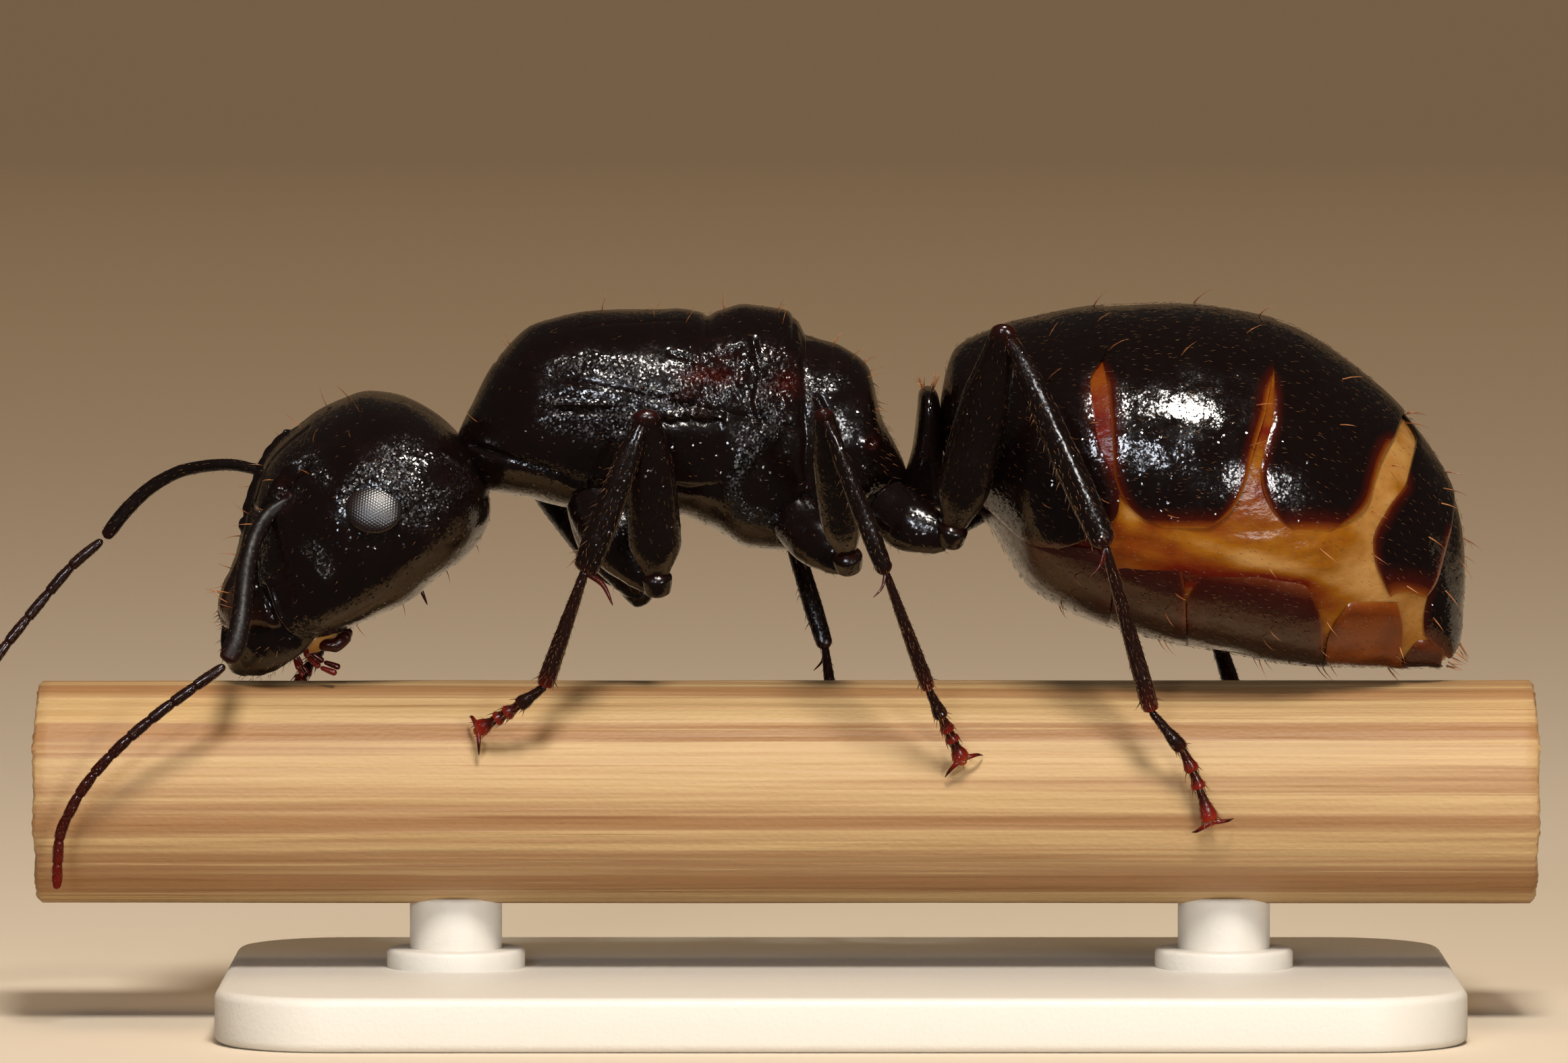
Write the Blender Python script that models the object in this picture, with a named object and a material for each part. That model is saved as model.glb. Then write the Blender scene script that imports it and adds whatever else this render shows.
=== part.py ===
"""Carpenter ant queen without wings (Camponotus), life size, on a cut bamboo stick held by a plain stand.

All sizes are millimetres in the frame of the finished piece: +Z up, head towards -X, the ant's left
side towards -Y, origin at the centre of the stand's underside. One empty scales it to metres.
"""

import math

import bmesh
import bpy
from mathutils import Matrix, Vector

MM = 0.001
CLEARANCE = 0.05  # kept between any two neighbouring pieces

# Stand and perch
BASE_SIZE = (16.0, 9.0, 0.7)
BASE_CORNER = 1.5  # radius of its corners seen from above
ROD_RADIUS = 0.6
ROD_SPREAD = 5.0  # each rod stands this far in front of or behind the base's centre
PERCH_RADIUS = 1.48
PERCH_LENGTH = 19.5
PERCH_MIDDLE = -0.7  # along X
PERCH_AXIS = 2.98  # height of its centre line

# Head, in its own axes: x runs from the back of the head to the mouth, z to the forehead
HEAD_CENTRE = Vector((-6.45, 0.0, 6.55))
HEAD_PITCH = math.radians(48.0)  # the mouth points this far below level
HEAD_ROLL = math.radians(15.0)  # the face is turned this far towards the ant's left
EYE_PLACE = Vector((-0.53, 1.60, 0.30))
EYE_RADII = Vector((0.34, 0.17, 0.38))
EYE_TURN = math.radians(40.0)

# Body sections as seen from the side: (x, top, bottom, half width)
HEAD_SECTIONS = (
    (-1.82, -0.20, -0.20, 0.00),
    (-1.62, 0.58, -1.00, 1.18),
    (-1.25, 0.96, -1.42, 1.58),
    (-0.65, 1.19, -1.49, 1.74),
    (0.00, 1.27, -1.37, 1.69),
    (0.60, 1.07, -1.17, 1.54),
    (1.20, 0.77, -0.88, 1.32),
    (1.50, 0.65, -0.62, 1.14),
    (1.78, 0.57, -0.10, 0.86),
    (2.02, 0.42, 0.14, 0.50),
)
TRUNK_SECTIONS = (
    (-5.04, 7.28, 7.28, 0.00),
    (-4.80, 8.00, 6.94, 0.62),
    (-4.42, 8.67, 6.88, 0.98),
    (-3.90, 9.10, 6.78, 1.22),
    (-3.10, 9.25, 6.62, 1.38),
    (-2.20, 9.27, 6.60, 1.42),
    (-1.72, 9.22, 6.45, 1.38),
    (-1.20, 9.33, 6.17, 1.34),
    (-0.72, 9.26, 6.13, 1.22),
    (-0.38, 8.92, 6.34, 1.10),
    (0.02, 8.78, 6.60, 1.02),
    (0.36, 8.52, 6.78, 0.90),
    (0.54, 7.86, 6.88, 0.72),
    (0.88, 7.05, 7.05, 0.00),
)
# The petiole's sections are level: (height, front, back, half width)
PETIOLE_SECTIONS = (
    (6.66, 0.78, 1.44, 0.34),
    (7.10, 0.84, 1.40, 0.46),
    (7.50, 0.95, 1.33, 0.64),
    (7.90, 0.99, 1.31, 0.72),
    (8.18, 1.02, 1.26, 0.60),
    (8.27, 1.14, 1.14, 0.00),
)
# The gaster's sections lean back: (top x, top z, bottom x, bottom z, half width)
GASTER_SECTIONS = (
    (1.24, 7.78, 1.24, 7.78, 0.00),
    (1.42, 8.70, 1.42, 7.12, 0.92),
    (1.95, 9.03, 1.95, 6.36, 1.46),
    (2.60, 9.21, 2.50, 5.60, 2.00),
    (3.60, 9.35, 3.50, 5.12, 2.32),
    (4.75, 9.34, 4.65, 4.84, 2.40),
    (5.75, 9.13, 5.40, 4.70, 2.26),
    (6.82, 8.46, 6.05, 4.61, 1.92),
    (7.66, 7.55, 6.65, 4.59, 1.46),
    (8.10, 6.55, 7.15, 4.58, 0.96),
    (8.13, 5.40, 7.65, 4.58, 0.50),
    (8.00, 4.72, 8.00, 4.72, 0.00),
)

# Planes that part the trunk and the gaster: (x, z, lean in degrees back from upright)
SCUTUM_PLANE = (-3.30, 8.36, -78.2)
PRONOTUM_PLANE = (-3.00, 7.45, 25.0)
SCUTELLUM_PLANE = (-1.72, 9.0, 0.0)
PROPODEUM_PLANE = (-0.45, 7.5, 0.0)
GASTER_PLANES = ((3.40, 7.2, 3.0), (5.36, 7.0, 7.0), (6.90, 6.4, 17.0), (7.72, 5.2, 28.0))

# Limbs. Each row is a joint: (x, distance from the midline, z, radius). "left" is the -Y side.
LIMB_RADIUS = 0.25  # thin limbs are held at this in the solids
COXAE = {
    "front_left": ((-3.20, 0.75, 6.95, 0.50), (-2.85, 0.95, 6.35, 0.48), (-2.36, 1.26, 5.72, 0.27)),
    "front_right": ((-3.20, 0.75, 6.95, 0.50), (-2.95, 0.92, 6.20, 0.46), (-2.60, 1.15, 5.48, 0.27)),
    "middle_left": ((-0.62, 0.80, 6.62, 0.42), (-0.25, 1.10, 6.30, 0.36), (0.10, 1.42, 6.02, 0.27)),
    "middle_right": ((-0.62, 0.80, 6.62, 0.42), (-0.35, 1.10, 6.25, 0.36), (-0.15, 1.42, 5.95, 0.27)),
    "hind_left": ((0.50, 0.60, 6.75, 0.42), (0.95, 0.85, 6.50, 0.36), (1.42, 1.12, 6.34, 0.27)),
    "hind_right": ((0.50, 0.60, 6.75, 0.42), (0.95, 0.90, 6.45, 0.36), (1.40, 1.20, 6.24, 0.27)),
}
# A femur or tibia is straight: its two ends, then its own share of the usual thickness.
FEMORA = {
    "front_left": ((-2.31, 1.36, 5.72), (-2.50, 2.50, 8.08), 1.0),
    "front_right": ((-2.72, 1.28, 5.45), (-4.30, 2.25, 7.45), 1.0),
    "middle_left": ((0.18, 1.50, 6.00), (-0.24, 3.30, 8.13), 0.75),
    "middle_right": ((-0.22, 1.55, 5.92), (-0.84, 3.30, 6.85), 0.75),
    "hind_left": ((1.54, 1.24, 6.33), (2.11, 2.85, 9.15), 0.95),
    "hind_right": ((1.54, 1.40, 6.25), (3.10, 3.60, 8.30), 0.95),
}
TIBIAE = {
    "front_left": ((-2.74, 2.52, 7.90), (-3.29, 2.25, 5.95)),
    "front_right": ((-4.56, 2.26, 7.40), (-5.95, 1.75, 5.62)),
    "middle_left": ((-0.08, 3.42, 7.92), (0.58, 2.90, 5.97)),
    "middle_right": ((-0.66, 3.36, 6.62), (-0.17, 2.55, 4.72)),
    "hind_left": ((2.38, 2.92, 8.98), (3.39, 2.62, 6.32)),
    "hind_right": ((3.36, 3.58, 8.18), (4.75, 2.92, 5.65)),
}
# Radius along each, from its inner end (0) to its outer end (1)
FEMUR_PROFILE = ((0.0, 0.24), (0.22, 0.37), (0.62, 0.34), (1.0, 0.23))
TIBIA_PROFILE = ((0.0, 0.12), (0.30, 0.20), (0.65, 0.25), (1.0, 0.25))
TARSI = {
    "front_left": ((-3.36, 2.18, 5.78), (-3.81, 1.85, 4.60), (-4.20, 1.70, 4.24), (-4.67, 1.45, 3.98)),
    "front_right": ((-6.05, 1.70, 5.52), (-6.70, 1.40, 4.92), (-7.00, 1.30, 4.50), (-7.22, 1.25, 4.20)),
    "middle_left": ((0.64, 2.80, 5.80), (1.13, 2.10, 4.45), (1.36, 1.80, 3.95), (1.56, 1.62, 3.56)),
    "middle_right": ((-0.15, 2.46, 4.56), (-0.03, 2.05, 3.60), (0.08, 1.85, 3.20), (0.19, 1.75, 2.75)),
    "hind_left": ((3.44, 2.54, 6.15), (3.99, 2.02, 4.25), (4.45, 1.80, 3.55), (4.73, 1.65, 2.80)),
    "hind_right": ((4.80, 2.84, 5.50), (5.25, 2.10, 4.00), (5.55, 1.85, 3.35), (5.75, 1.75, 2.80)),
}
SCAPES = {
    "left": ((-7.05, 0.92, 6.78), (-7.50, 1.20, 6.45), (-7.69, 1.62, 5.75), (-7.84, 2.02, 4.90)),
    "right": ((-7.25, 0.42, 6.98), (-7.95, 0.90, 7.20), (-8.75, 1.35, 7.04), (-9.60, 1.72, 6.28)),
}
FUNICULI = {
    "left": ((-7.93, 2.06, 4.70), (-8.60, 2.08, 4.28), (-9.40, 2.04, 3.60), (-9.92, 1.96, 2.86),
             (-10.06, 1.84, 1.95)),
    "right": ((-9.74, 1.75, 6.12), (-10.45, 1.70, 5.40), (-11.25, 1.58, 4.50), (-11.80, 1.42, 3.55),
              (-12.02, 1.26, 2.62)),
}
MANDIBLE = ((1.20, 0.80, -0.30, 0.30), (1.70, 0.78, -0.20, 0.36), (2.12, 0.52, -0.20, 0.31),
            (2.36, 0.16, -0.24, 0.15))
NECK = ((-5.35, 0.0, 7.08, 0.34), (-4.30, 0.0, 7.25, 0.34))

RINGS_PER_SPAN = 2  # from one section or joint to the next
BODY_SIDES = 24
PETIOLE_SIDES = 16
LIMB_SIDES = 8
EYE_SIDES = 14
PERCH_SIDES = 36
ROD_SIDES = 20

MATERIALS = {  # name: (colour, roughness)
    "black_cuticle": ((0.010, 0.008, 0.007), 0.28),
    "leg_cuticle": ((0.022, 0.010, 0.006), 0.35),
    "tarsus_cuticle": ((0.110, 0.022, 0.010), 0.40),
    "gaster_cuticle": ((0.030, 0.014, 0.008), 0.20),
    "eye_lens": ((0.045, 0.032, 0.028), 0.15),
    "bamboo": ((0.560, 0.390, 0.220), 0.60),
    "stand_plastic": ((0.700, 0.690, 0.670), 0.55),
}


def material(name):
    """The Principled material of this name, made the first time it is asked for."""
    found = bpy.data.materials.get(name)
    if found:
        return found
    made = bpy.data.materials.new(name)
    made.use_nodes = True
    shader = made.node_tree.nodes["Principled BSDF"]
    colour, roughness = MATERIALS[name]
    shader.inputs["Base Color"].default_value = (*colour, 1.0)
    shader.inputs["Roughness"].default_value = roughness
    return made


def new_object(name, bm, material_name, root):
    """A smooth-shaded object holding the closed mesh bm, under the empty that scales it to metres."""
    bmesh.ops.recalc_face_normals(bm, faces=bm.faces)
    mesh = bpy.data.meshes.new(name)
    bm.to_mesh(mesh)
    bm.free()
    mesh.shade_smooth()
    mesh.set_sharp_from_angle(angle=math.radians(40.0))
    mesh.materials.append(material(material_name))
    made = bpy.data.objects.new(name, mesh)
    made.parent = root
    bpy.context.scene.collection.objects.link(made)
    return made


def smooth_value(values, u):
    """The value at u of a smooth curve through values at 0, 1, 2 ... that never swings past them."""
    steps = [after - before for before, after in zip(values, values[1:])]
    span = min(int(u), len(steps) - 1)
    f = u - span

    def slope(k):
        before, after = steps[max(k - 1, 0)], steps[min(k, len(steps) - 1)]
        return 2 * before * after / (before + after) if before * after > 0 else 0.0

    start, end, step = slope(span), slope(span + 1), steps[span]
    return values[span] + f * start + f**2 * (3 * step - 2 * start - end) + f**3 * (start + end - 2 * step)


def span_places(spans, per_span):
    """Places along a run of spans, drawn together at its two ends, where a body closes in a round tip."""
    places = [i / per_span for i in range(spans * per_span + 1)]
    eased = []
    for u in places:
        if u < 1:
            u = u * u
        elif u > spans - 1:
            u = spans - (spans - u) ** 2
        eased.append(u)
    return eased


def skin_rings(rings):
    """A closed bmesh over rings of points; a ring of one point is a pole, and an open end gets a flat cap."""
    bm = bmesh.new()
    loops = [[bm.verts.new(point) for point in ring] for ring in rings]
    for one, two in zip(loops, loops[1:]):
        count = max(len(one), len(two))
        for k in range(count):
            after = (k + 1) % count
            corners = [one[k % len(one)], one[after % len(one)], two[after % len(two)], two[k % len(two)]]
            bm.faces.new(list(dict.fromkeys(corners)))
    for end in (loops[0], loops[-1]):
        if len(end) > 1:
            bm.faces.new(end)
    bmesh.ops.recalc_face_normals(bm, faces=bm.faces)
    return bm


def body_form(sections, squareness=2.0, sides=BODY_SIDES):
    """A closed body through sections (top x, top z, bottom x, bottom z, half width), round at both tips."""
    tops = [Vector((s[0], 0.0, s[1])) for s in sections]
    bottoms = [Vector((s[2], 0.0, s[3])) for s in sections]
    leans = [math.atan2(top.x - low.x, top.z - low.z) for top, low in zip(tops, bottoms)]
    for end, inner in ((0, 1), (-1, -2)):
        if tops[end] == bottoms[end]:
            leans[end] = leans[inner]
    middles = [(top + low) / 2 for top, low in zip(tops, bottoms)]
    tracks = (
        [middle.x for middle in middles],
        [middle.z for middle in middles],
        leans,
        [(top - low).length_squared / 4 for top, low in zip(tops, bottoms)],
        [s[4] ** 2 for s in sections],
    )
    rings = []
    for u in span_places(len(sections) - 1, RINGS_PER_SPAN):
        x, z, lean, height2, width2 = (smooth_value(track, u) for track in tracks)
        middle = Vector((x, 0.0, z))
        if min(height2, width2) < 1e-9:
            rings.append([middle])
            continue
        upward = Vector((math.sin(lean), 0.0, math.cos(lean))) * math.sqrt(height2)
        sideways = Vector((0.0, math.sqrt(width2), 0.0))
        ring = []
        for k in range(sides):
            angle = math.tau * (k + 0.5) / sides
            across, along = (
                math.copysign(abs(c) ** (2 / squareness), c) for c in (math.cos(angle), math.sin(angle))
            )
            ring.append(middle + sideways * across + upward * along)
        rings.append(ring)
    return skin_rings(rings)


def upright(sections):
    """Sections (x, top, bottom, half width) as the leaning kind that body_form takes."""
    return [(x, top, x, bottom, half_width) for x, top, bottom, half_width in sections]


def keep_side(bm, plane, side):
    """Cuts bm by a plane (x, z, lean), keeping its +X side (1) or its -X side (-1)."""
    x, z, lean = plane
    normal = Vector((math.cos(math.radians(lean)), 0.0, -math.sin(math.radians(lean)))) * side
    point = Vector((x, 0.0, z)) + normal * CLEARANCE / 2
    cut = bmesh.ops.bisect_plane(
        bm, geom=bm.verts[:] + bm.edges[:] + bm.faces[:], plane_co=point, plane_no=normal, clear_inner=True
    )
    rim = [item for item in cut["geom_cut"] if isinstance(item, bmesh.types.BMEdge)]
    bmesh.ops.edgeloop_fill(bm, edges=rim)


def limb_form(joints, flatness=1.0, rings_per_span=RINGS_PER_SPAN):
    """A closed round-ended limb through joints (x, y, z, radius); a flatness below 1 thins it."""
    tracks = [list(track) for track in zip(*joints)]
    spans = len(joints) - 1
    places = [i / rings_per_span for i in range(spans * rings_per_span + 1)]
    centres = [Vector([smooth_value(track, u) for track in tracks[:3]]) for u in places]
    radii = [smooth_value(tracks[3], u) for u in places]
    rings = []
    for i, (centre, radius) in enumerate(zip(centres, radii)):
        along = (centres[min(i + 1, len(centres) - 1)] - centres[max(i - 1, 0)]).normalized()
        broad = along.cross(Vector((0.0, 1.0, 0.0))).normalized()
        thin = along.cross(broad)
        for back, share in cap_steps(i, len(centres)):
            middle = centre + along * radius * back * flatness
            if share == 0:
                rings.append([middle])
                continue
            turns = [math.tau * (k + 0.5) / LIMB_SIDES for k in range(LIMB_SIDES)]
            rings.append(
                [
                    middle + (broad * math.cos(a) + thin * math.sin(a) * flatness) * radius * share
                    for a in turns
                ]
            )
    return skin_rings(rings)


def cap_steps(index, count):
    """Where a limb's rings go at one place: (offset along it, share of the radius), rounding the two ends."""
    half = math.sqrt(0.5)
    if index == 0:
        return ((-1.0, 0.0), (-half, half), (0.0, 1.0))
    if index == count - 1:
        return ((0.0, 1.0), (half, half), (1.0, 0.0))
    return ((0.0, 1.0),)


def seat(piece, *neighbours):
    """Cuts the piece back wherever a neighbour, with the clearance round it, would enter it."""
    for neighbour in neighbours:
        cutter_name = f"clear_of_{neighbour.name}"
        cutter = bpy.data.objects.get(cutter_name)
        if cutter is None:
            bm = bmesh.new()
            bm.from_mesh(neighbour.data)
            bm.normal_update()
            moves = [(vert, vert.normal * CLEARANCE) for vert in bm.verts]
            for vert, move in moves:
                vert.co += move
            cutter = new_object(cutter_name, bm, "stand_plastic", piece.parent)
            cutter.hide_render = True
            cutter.display_type = "WIRE"
        boolean = piece.modifiers.new(cutter_name, "BOOLEAN")
        boolean.operation = "DIFFERENCE"
        boolean.object = cutter


def head_matrix():
    """From the head's own axes to the body's: +x to the mouth, +z to the forehead, then the roll."""
    forward = Vector((-math.cos(HEAD_PITCH), 0.0, -math.sin(HEAD_PITCH)))
    upward = Vector((-math.sin(HEAD_PITCH), 0.0, math.cos(HEAD_PITCH)))
    axes = Matrix((forward, upward.cross(forward), upward)).transposed().to_4x4()
    return Matrix.Translation(HEAD_CENTRE) @ axes @ Matrix.Rotation(-HEAD_ROLL, 4, "X")


def straight_limb(ends, side, profile, thickness=1.0):
    """Joints from one end of a straight limb to the other, with the profile's radii."""
    start, end = (Vector(end) for end in ends)
    return mirrored([(*start.lerp(end, share), radius * thickness) for share, radius in profile], side)


def mirrored(joints, side, radius=None):
    """Joints with the distance from the midline signed for the side, and a radius where they have none."""
    sign = -1.0 if side == "left" else 1.0
    rows = [row if radius is None else (*row, radius) for row in joints]
    return [(x, sign * y, z, r) for x, y, z, r in rows]


def clear_of_perch(joints):
    """Joints moved straight out from the perch's axis where the limb would enter the perch."""
    least = PERCH_RADIUS + CLEARANCE
    moved = []
    for x, y, z, radius in joints:
        out = Vector((y, z - PERCH_AXIS))
        reach = max(out.length, least + radius) / out.length
        moved.append((x, out.x * reach, PERCH_AXIS + out.y * reach, radius))
    return moved


def make_head(root):
    """Head capsule with its eyes, mandibles and the neck behind it, each piece clear of the next."""
    place = head_matrix()
    sections = []
    for x, top, bottom, half_width in HEAD_SECTIONS:
        # The rolled section must still reach the outline's top and bottom.
        half, middle = (top - bottom) / 2, (top + bottom) / 2
        level = math.sqrt(max(half**2 - (half_width * math.sin(HEAD_ROLL)) ** 2, 0.0)) / math.cos(HEAD_ROLL)
        sections.append((x, middle + level, x, middle - level, half_width))
    bm = body_form(sections, squareness=2.15)
    bm.transform(place)
    head = new_object("head", bm, "black_cuticle", root)

    for side in ("left", "right"):
        # Across the head's own axes the ant's left is +y.
        sign = 1.0 if side == "left" else -1.0
        bm = bmesh.new()
        bmesh.ops.create_uvsphere(bm, u_segments=EYE_SIDES, v_segments=EYE_SIDES // 2, radius=1.0)
        turn = Matrix.Rotation(sign * EYE_TURN, 4, "Y")
        spot = Matrix.Translation(Vector((EYE_PLACE.x, sign * EYE_PLACE.y, EYE_PLACE.z)))
        bm.transform(place @ spot @ turn @ Matrix.Diagonal((*EYE_RADII, 1.0)))
        seat(head, new_object(f"eye_{side}", bm, "eye_lens", root))

        bm = limb_form([(x, sign * y, z, r) for x, y, z, r in MANDIBLE], flatness=0.8)
        middle_cut = bmesh.ops.bisect_plane(
            bm,
            geom=bm.verts[:] + bm.edges[:] + bm.faces[:],
            plane_co=(0.0, sign * CLEARANCE / 2, 0.0),
            plane_no=(0.0, sign, 0.0),
            clear_inner=True,
        )
        rim = [item for item in middle_cut["geom_cut"] if isinstance(item, bmesh.types.BMEdge)]
        if rim:
            bmesh.ops.edgeloop_fill(bm, edges=rim)
        bm.transform(place)
        seat(new_object(f"mandible_{side}", bm, "black_cuticle", root), head)

    neck = new_object("neck", limb_form(NECK), "black_cuticle", root)
    seat(head, neck)
    return head, neck


def make_trunk(root, head, neck):
    """Pronotum, scutum, scutellum, side plates and propodeum, parted by thin cuts through one form."""
    cuts = {
        "pronotum": ((SCUTUM_PLANE, -1), (PRONOTUM_PLANE, -1)),
        "scutum": ((SCUTUM_PLANE, 1), (SCUTELLUM_PLANE, -1)),
        "scutellum": ((SCUTUM_PLANE, 1), (SCUTELLUM_PLANE, 1), (PROPODEUM_PLANE, -1)),
        "mesopleura": ((SCUTUM_PLANE, -1), (PRONOTUM_PLANE, 1), (PROPODEUM_PLANE, -1)),
        "propodeum": ((PROPODEUM_PLANE, 1),),
    }
    trunk = {}
    for name, planes in cuts.items():
        bm = body_form(upright(TRUNK_SECTIONS), squareness=2.3)
        for plane, side in planes:
            keep_side(bm, plane, side)
        trunk[name] = new_object(name, bm, "black_cuticle", root)
    seat(trunk["pronotum"], neck)
    seat(head, trunk["pronotum"])
    return trunk


def make_waist_and_gaster(root, trunk):
    """The petiole's upright scale and the gaster's five visible rings."""
    rings = []
    for number in range(len(GASTER_PLANES) + 1):
        bm = body_form(GASTER_SECTIONS)
        if number > 0:
            keep_side(bm, GASTER_PLANES[number - 1], 1)
        if number < len(GASTER_PLANES):
            keep_side(bm, GASTER_PLANES[number], -1)
        rings.append(new_object(f"gaster_{number + 1}", bm, "gaster_cuticle", root))
    sections = [(front, z, back, z, half_width) for z, front, back, half_width in PETIOLE_SECTIONS]
    scale = body_form(sections, squareness=2.4, sides=PETIOLE_SIDES)
    petiole = new_object("petiole", scale, "black_cuticle", root)
    seat(petiole, trunk["propodeum"], rings[0])
    return petiole, rings


def make_legs(root, body):
    """Six legs of coxa, femur with its trochanter, tibia and tarsus."""
    for leg, coxa_joints in COXAE.items():
        side = leg.split("_")[1]
        coxa_form = limb_form(mirrored(coxa_joints, side), rings_per_span=1)
        coxa = new_object(f"coxa_{leg}", coxa_form, "black_cuticle", root)
        seat(coxa, *body)
        *femur_ends, thickness = FEMORA[leg]
        femur_joints = straight_limb(femur_ends, side, FEMUR_PROFILE, thickness)
        femur_form = limb_form(femur_joints, flatness=0.75, rings_per_span=1)
        femur = new_object(f"femur_{leg}", femur_form, "leg_cuticle", root)
        seat(femur, coxa)
        tibia_joints = clear_of_perch(straight_limb(TIBIAE[leg], side, TIBIA_PROFILE))
        tibia_form = limb_form(tibia_joints, rings_per_span=1)
        tibia = new_object(f"tibia_{leg}", tibia_form, "leg_cuticle", root)
        seat(tibia, femur)
        tarsus_joints = clear_of_perch(mirrored(TARSI[leg], side, LIMB_RADIUS))
        tarsus = new_object(f"tarsus_{leg}", limb_form(tarsus_joints), "tarsus_cuticle", root)
        seat(tarsus, tibia)


def make_antennae(root, head):
    """Each antenna's long scape and its bent, many-jointed funiculus."""
    for side in ("left", "right"):
        scape_form = limb_form(mirrored(SCAPES[side], side, LIMB_RADIUS))
        scape = new_object(f"scape_{side}", scape_form, "leg_cuticle", root)
        seat(scape, head)
        funiculus_joints = clear_of_perch(mirrored(FUNICULI[side], side, LIMB_RADIUS))
        funiculus = new_object(f"funiculus_{side}", limb_form(funiculus_joints), "tarsus_cuticle", root)
        seat(funiculus, scape)


def make_perch_and_stand(root):
    """The cut stick lying along X, and the flat base with two short rods that carry it."""
    bm = bmesh.new()
    bmesh.ops.create_cone(
        bm, cap_ends=True, segments=PERCH_SIDES, radius1=PERCH_RADIUS, radius2=PERCH_RADIUS,
        depth=PERCH_LENGTH,
    )
    turn = Matrix.Rotation(math.pi / 2, 4, "Y")
    bm.transform(Matrix.Translation((PERCH_MIDDLE, 0.0, PERCH_AXIS)) @ turn)
    perch = new_object("perch", bm, "bamboo", root)

    bm = bmesh.new()
    bmesh.ops.create_cube(bm, size=1.0)
    bm.transform(Matrix.Translation((0.0, 0.0, BASE_SIZE[2] / 2)) @ Matrix.Diagonal((*BASE_SIZE, 1.0)))
    upright_edges = [e for e in bm.edges if abs(e.verts[0].co.z - e.verts[1].co.z) > BASE_SIZE[2] / 2]
    bmesh.ops.bevel(
        bm, geom=upright_edges, offset=BASE_CORNER, offset_type="OFFSET", segments=4, profile=0.5,
        affect="EDGES", material=-1,
    )
    new_object("stand_base", bm, "stand_plastic", root)

    for name, x in (("stand_rod_front", -ROD_SPREAD), ("stand_rod_back", ROD_SPREAD)):
        foot, top = BASE_SIZE[2] + CLEARANCE, PERCH_AXIS - PERCH_RADIUS / 2
        bm = bmesh.new()
        bmesh.ops.create_cone(
            bm, cap_ends=True, segments=ROD_SIDES, radius1=ROD_RADIUS, radius2=ROD_RADIUS, depth=top - foot
        )
        bm.transform(Matrix.Translation((x, 0.0, (foot + top) / 2)))
        seat(new_object(name, bm, "stand_plastic", root), perch)


def main():
    for old in list(bpy.data.objects):
        bpy.data.objects.remove(old)
    root = bpy.data.objects.new("millimetres", None)
    root.scale = (MM, MM, MM)
    bpy.context.scene.collection.objects.link(root)

    head, neck = make_head(root)
    trunk = make_trunk(root, head, neck)
    petiole, gaster = make_waist_and_gaster(root, trunk)
    make_legs(root, [*trunk.values(), petiole, gaster[0]])
    make_antennae(root, head)
    make_perch_and_stand(root)


main()
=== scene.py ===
import math

import bmesh
import bpy
import numpy as np
from bpy.props import FloatProperty, FloatVectorProperty, IntProperty, PointerProperty
from mathutils import Matrix, Vector, noise


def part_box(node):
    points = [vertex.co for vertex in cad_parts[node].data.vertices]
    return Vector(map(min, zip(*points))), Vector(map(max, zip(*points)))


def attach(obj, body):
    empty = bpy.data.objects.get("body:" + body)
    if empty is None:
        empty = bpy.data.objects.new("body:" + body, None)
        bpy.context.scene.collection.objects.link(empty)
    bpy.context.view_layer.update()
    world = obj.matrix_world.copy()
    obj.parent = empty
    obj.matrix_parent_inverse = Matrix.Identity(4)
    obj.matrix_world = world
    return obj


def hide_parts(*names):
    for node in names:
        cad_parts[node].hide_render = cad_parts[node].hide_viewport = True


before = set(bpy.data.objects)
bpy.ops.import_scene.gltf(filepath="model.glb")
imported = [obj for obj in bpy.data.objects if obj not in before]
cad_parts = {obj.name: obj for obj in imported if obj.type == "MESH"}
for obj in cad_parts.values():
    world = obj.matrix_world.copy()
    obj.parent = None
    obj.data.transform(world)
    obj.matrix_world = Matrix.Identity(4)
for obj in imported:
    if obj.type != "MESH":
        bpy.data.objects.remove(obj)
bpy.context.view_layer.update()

bl_info = {
    "name": "Carpenter Ant Queen",
    "version": (1, 0, 0),
    "blender": (4, 5, 0),
    "location": "View3D > Sidebar > Ant",
    "description": "Finishes the carpenter ant queen on its bamboo perch and sets its stage",
    "category": "Object",
}

# The frame is in metres. The sizes below are millimetres in the same place: +Z up, head towards -X, the
# ant's left side towards -Y. Distances from the midline are given without a sign, and a side adds it.
MM = 0.001
SIDES = ("left", "right")

# ---------------------------------------------------------------- the forms of the body

HEAD_CENTRE = (-6.45, 0.0, 6.55)
HEAD_PITCH = math.radians(48.0)
HEAD_ROLL = math.radians(15.0)
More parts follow.
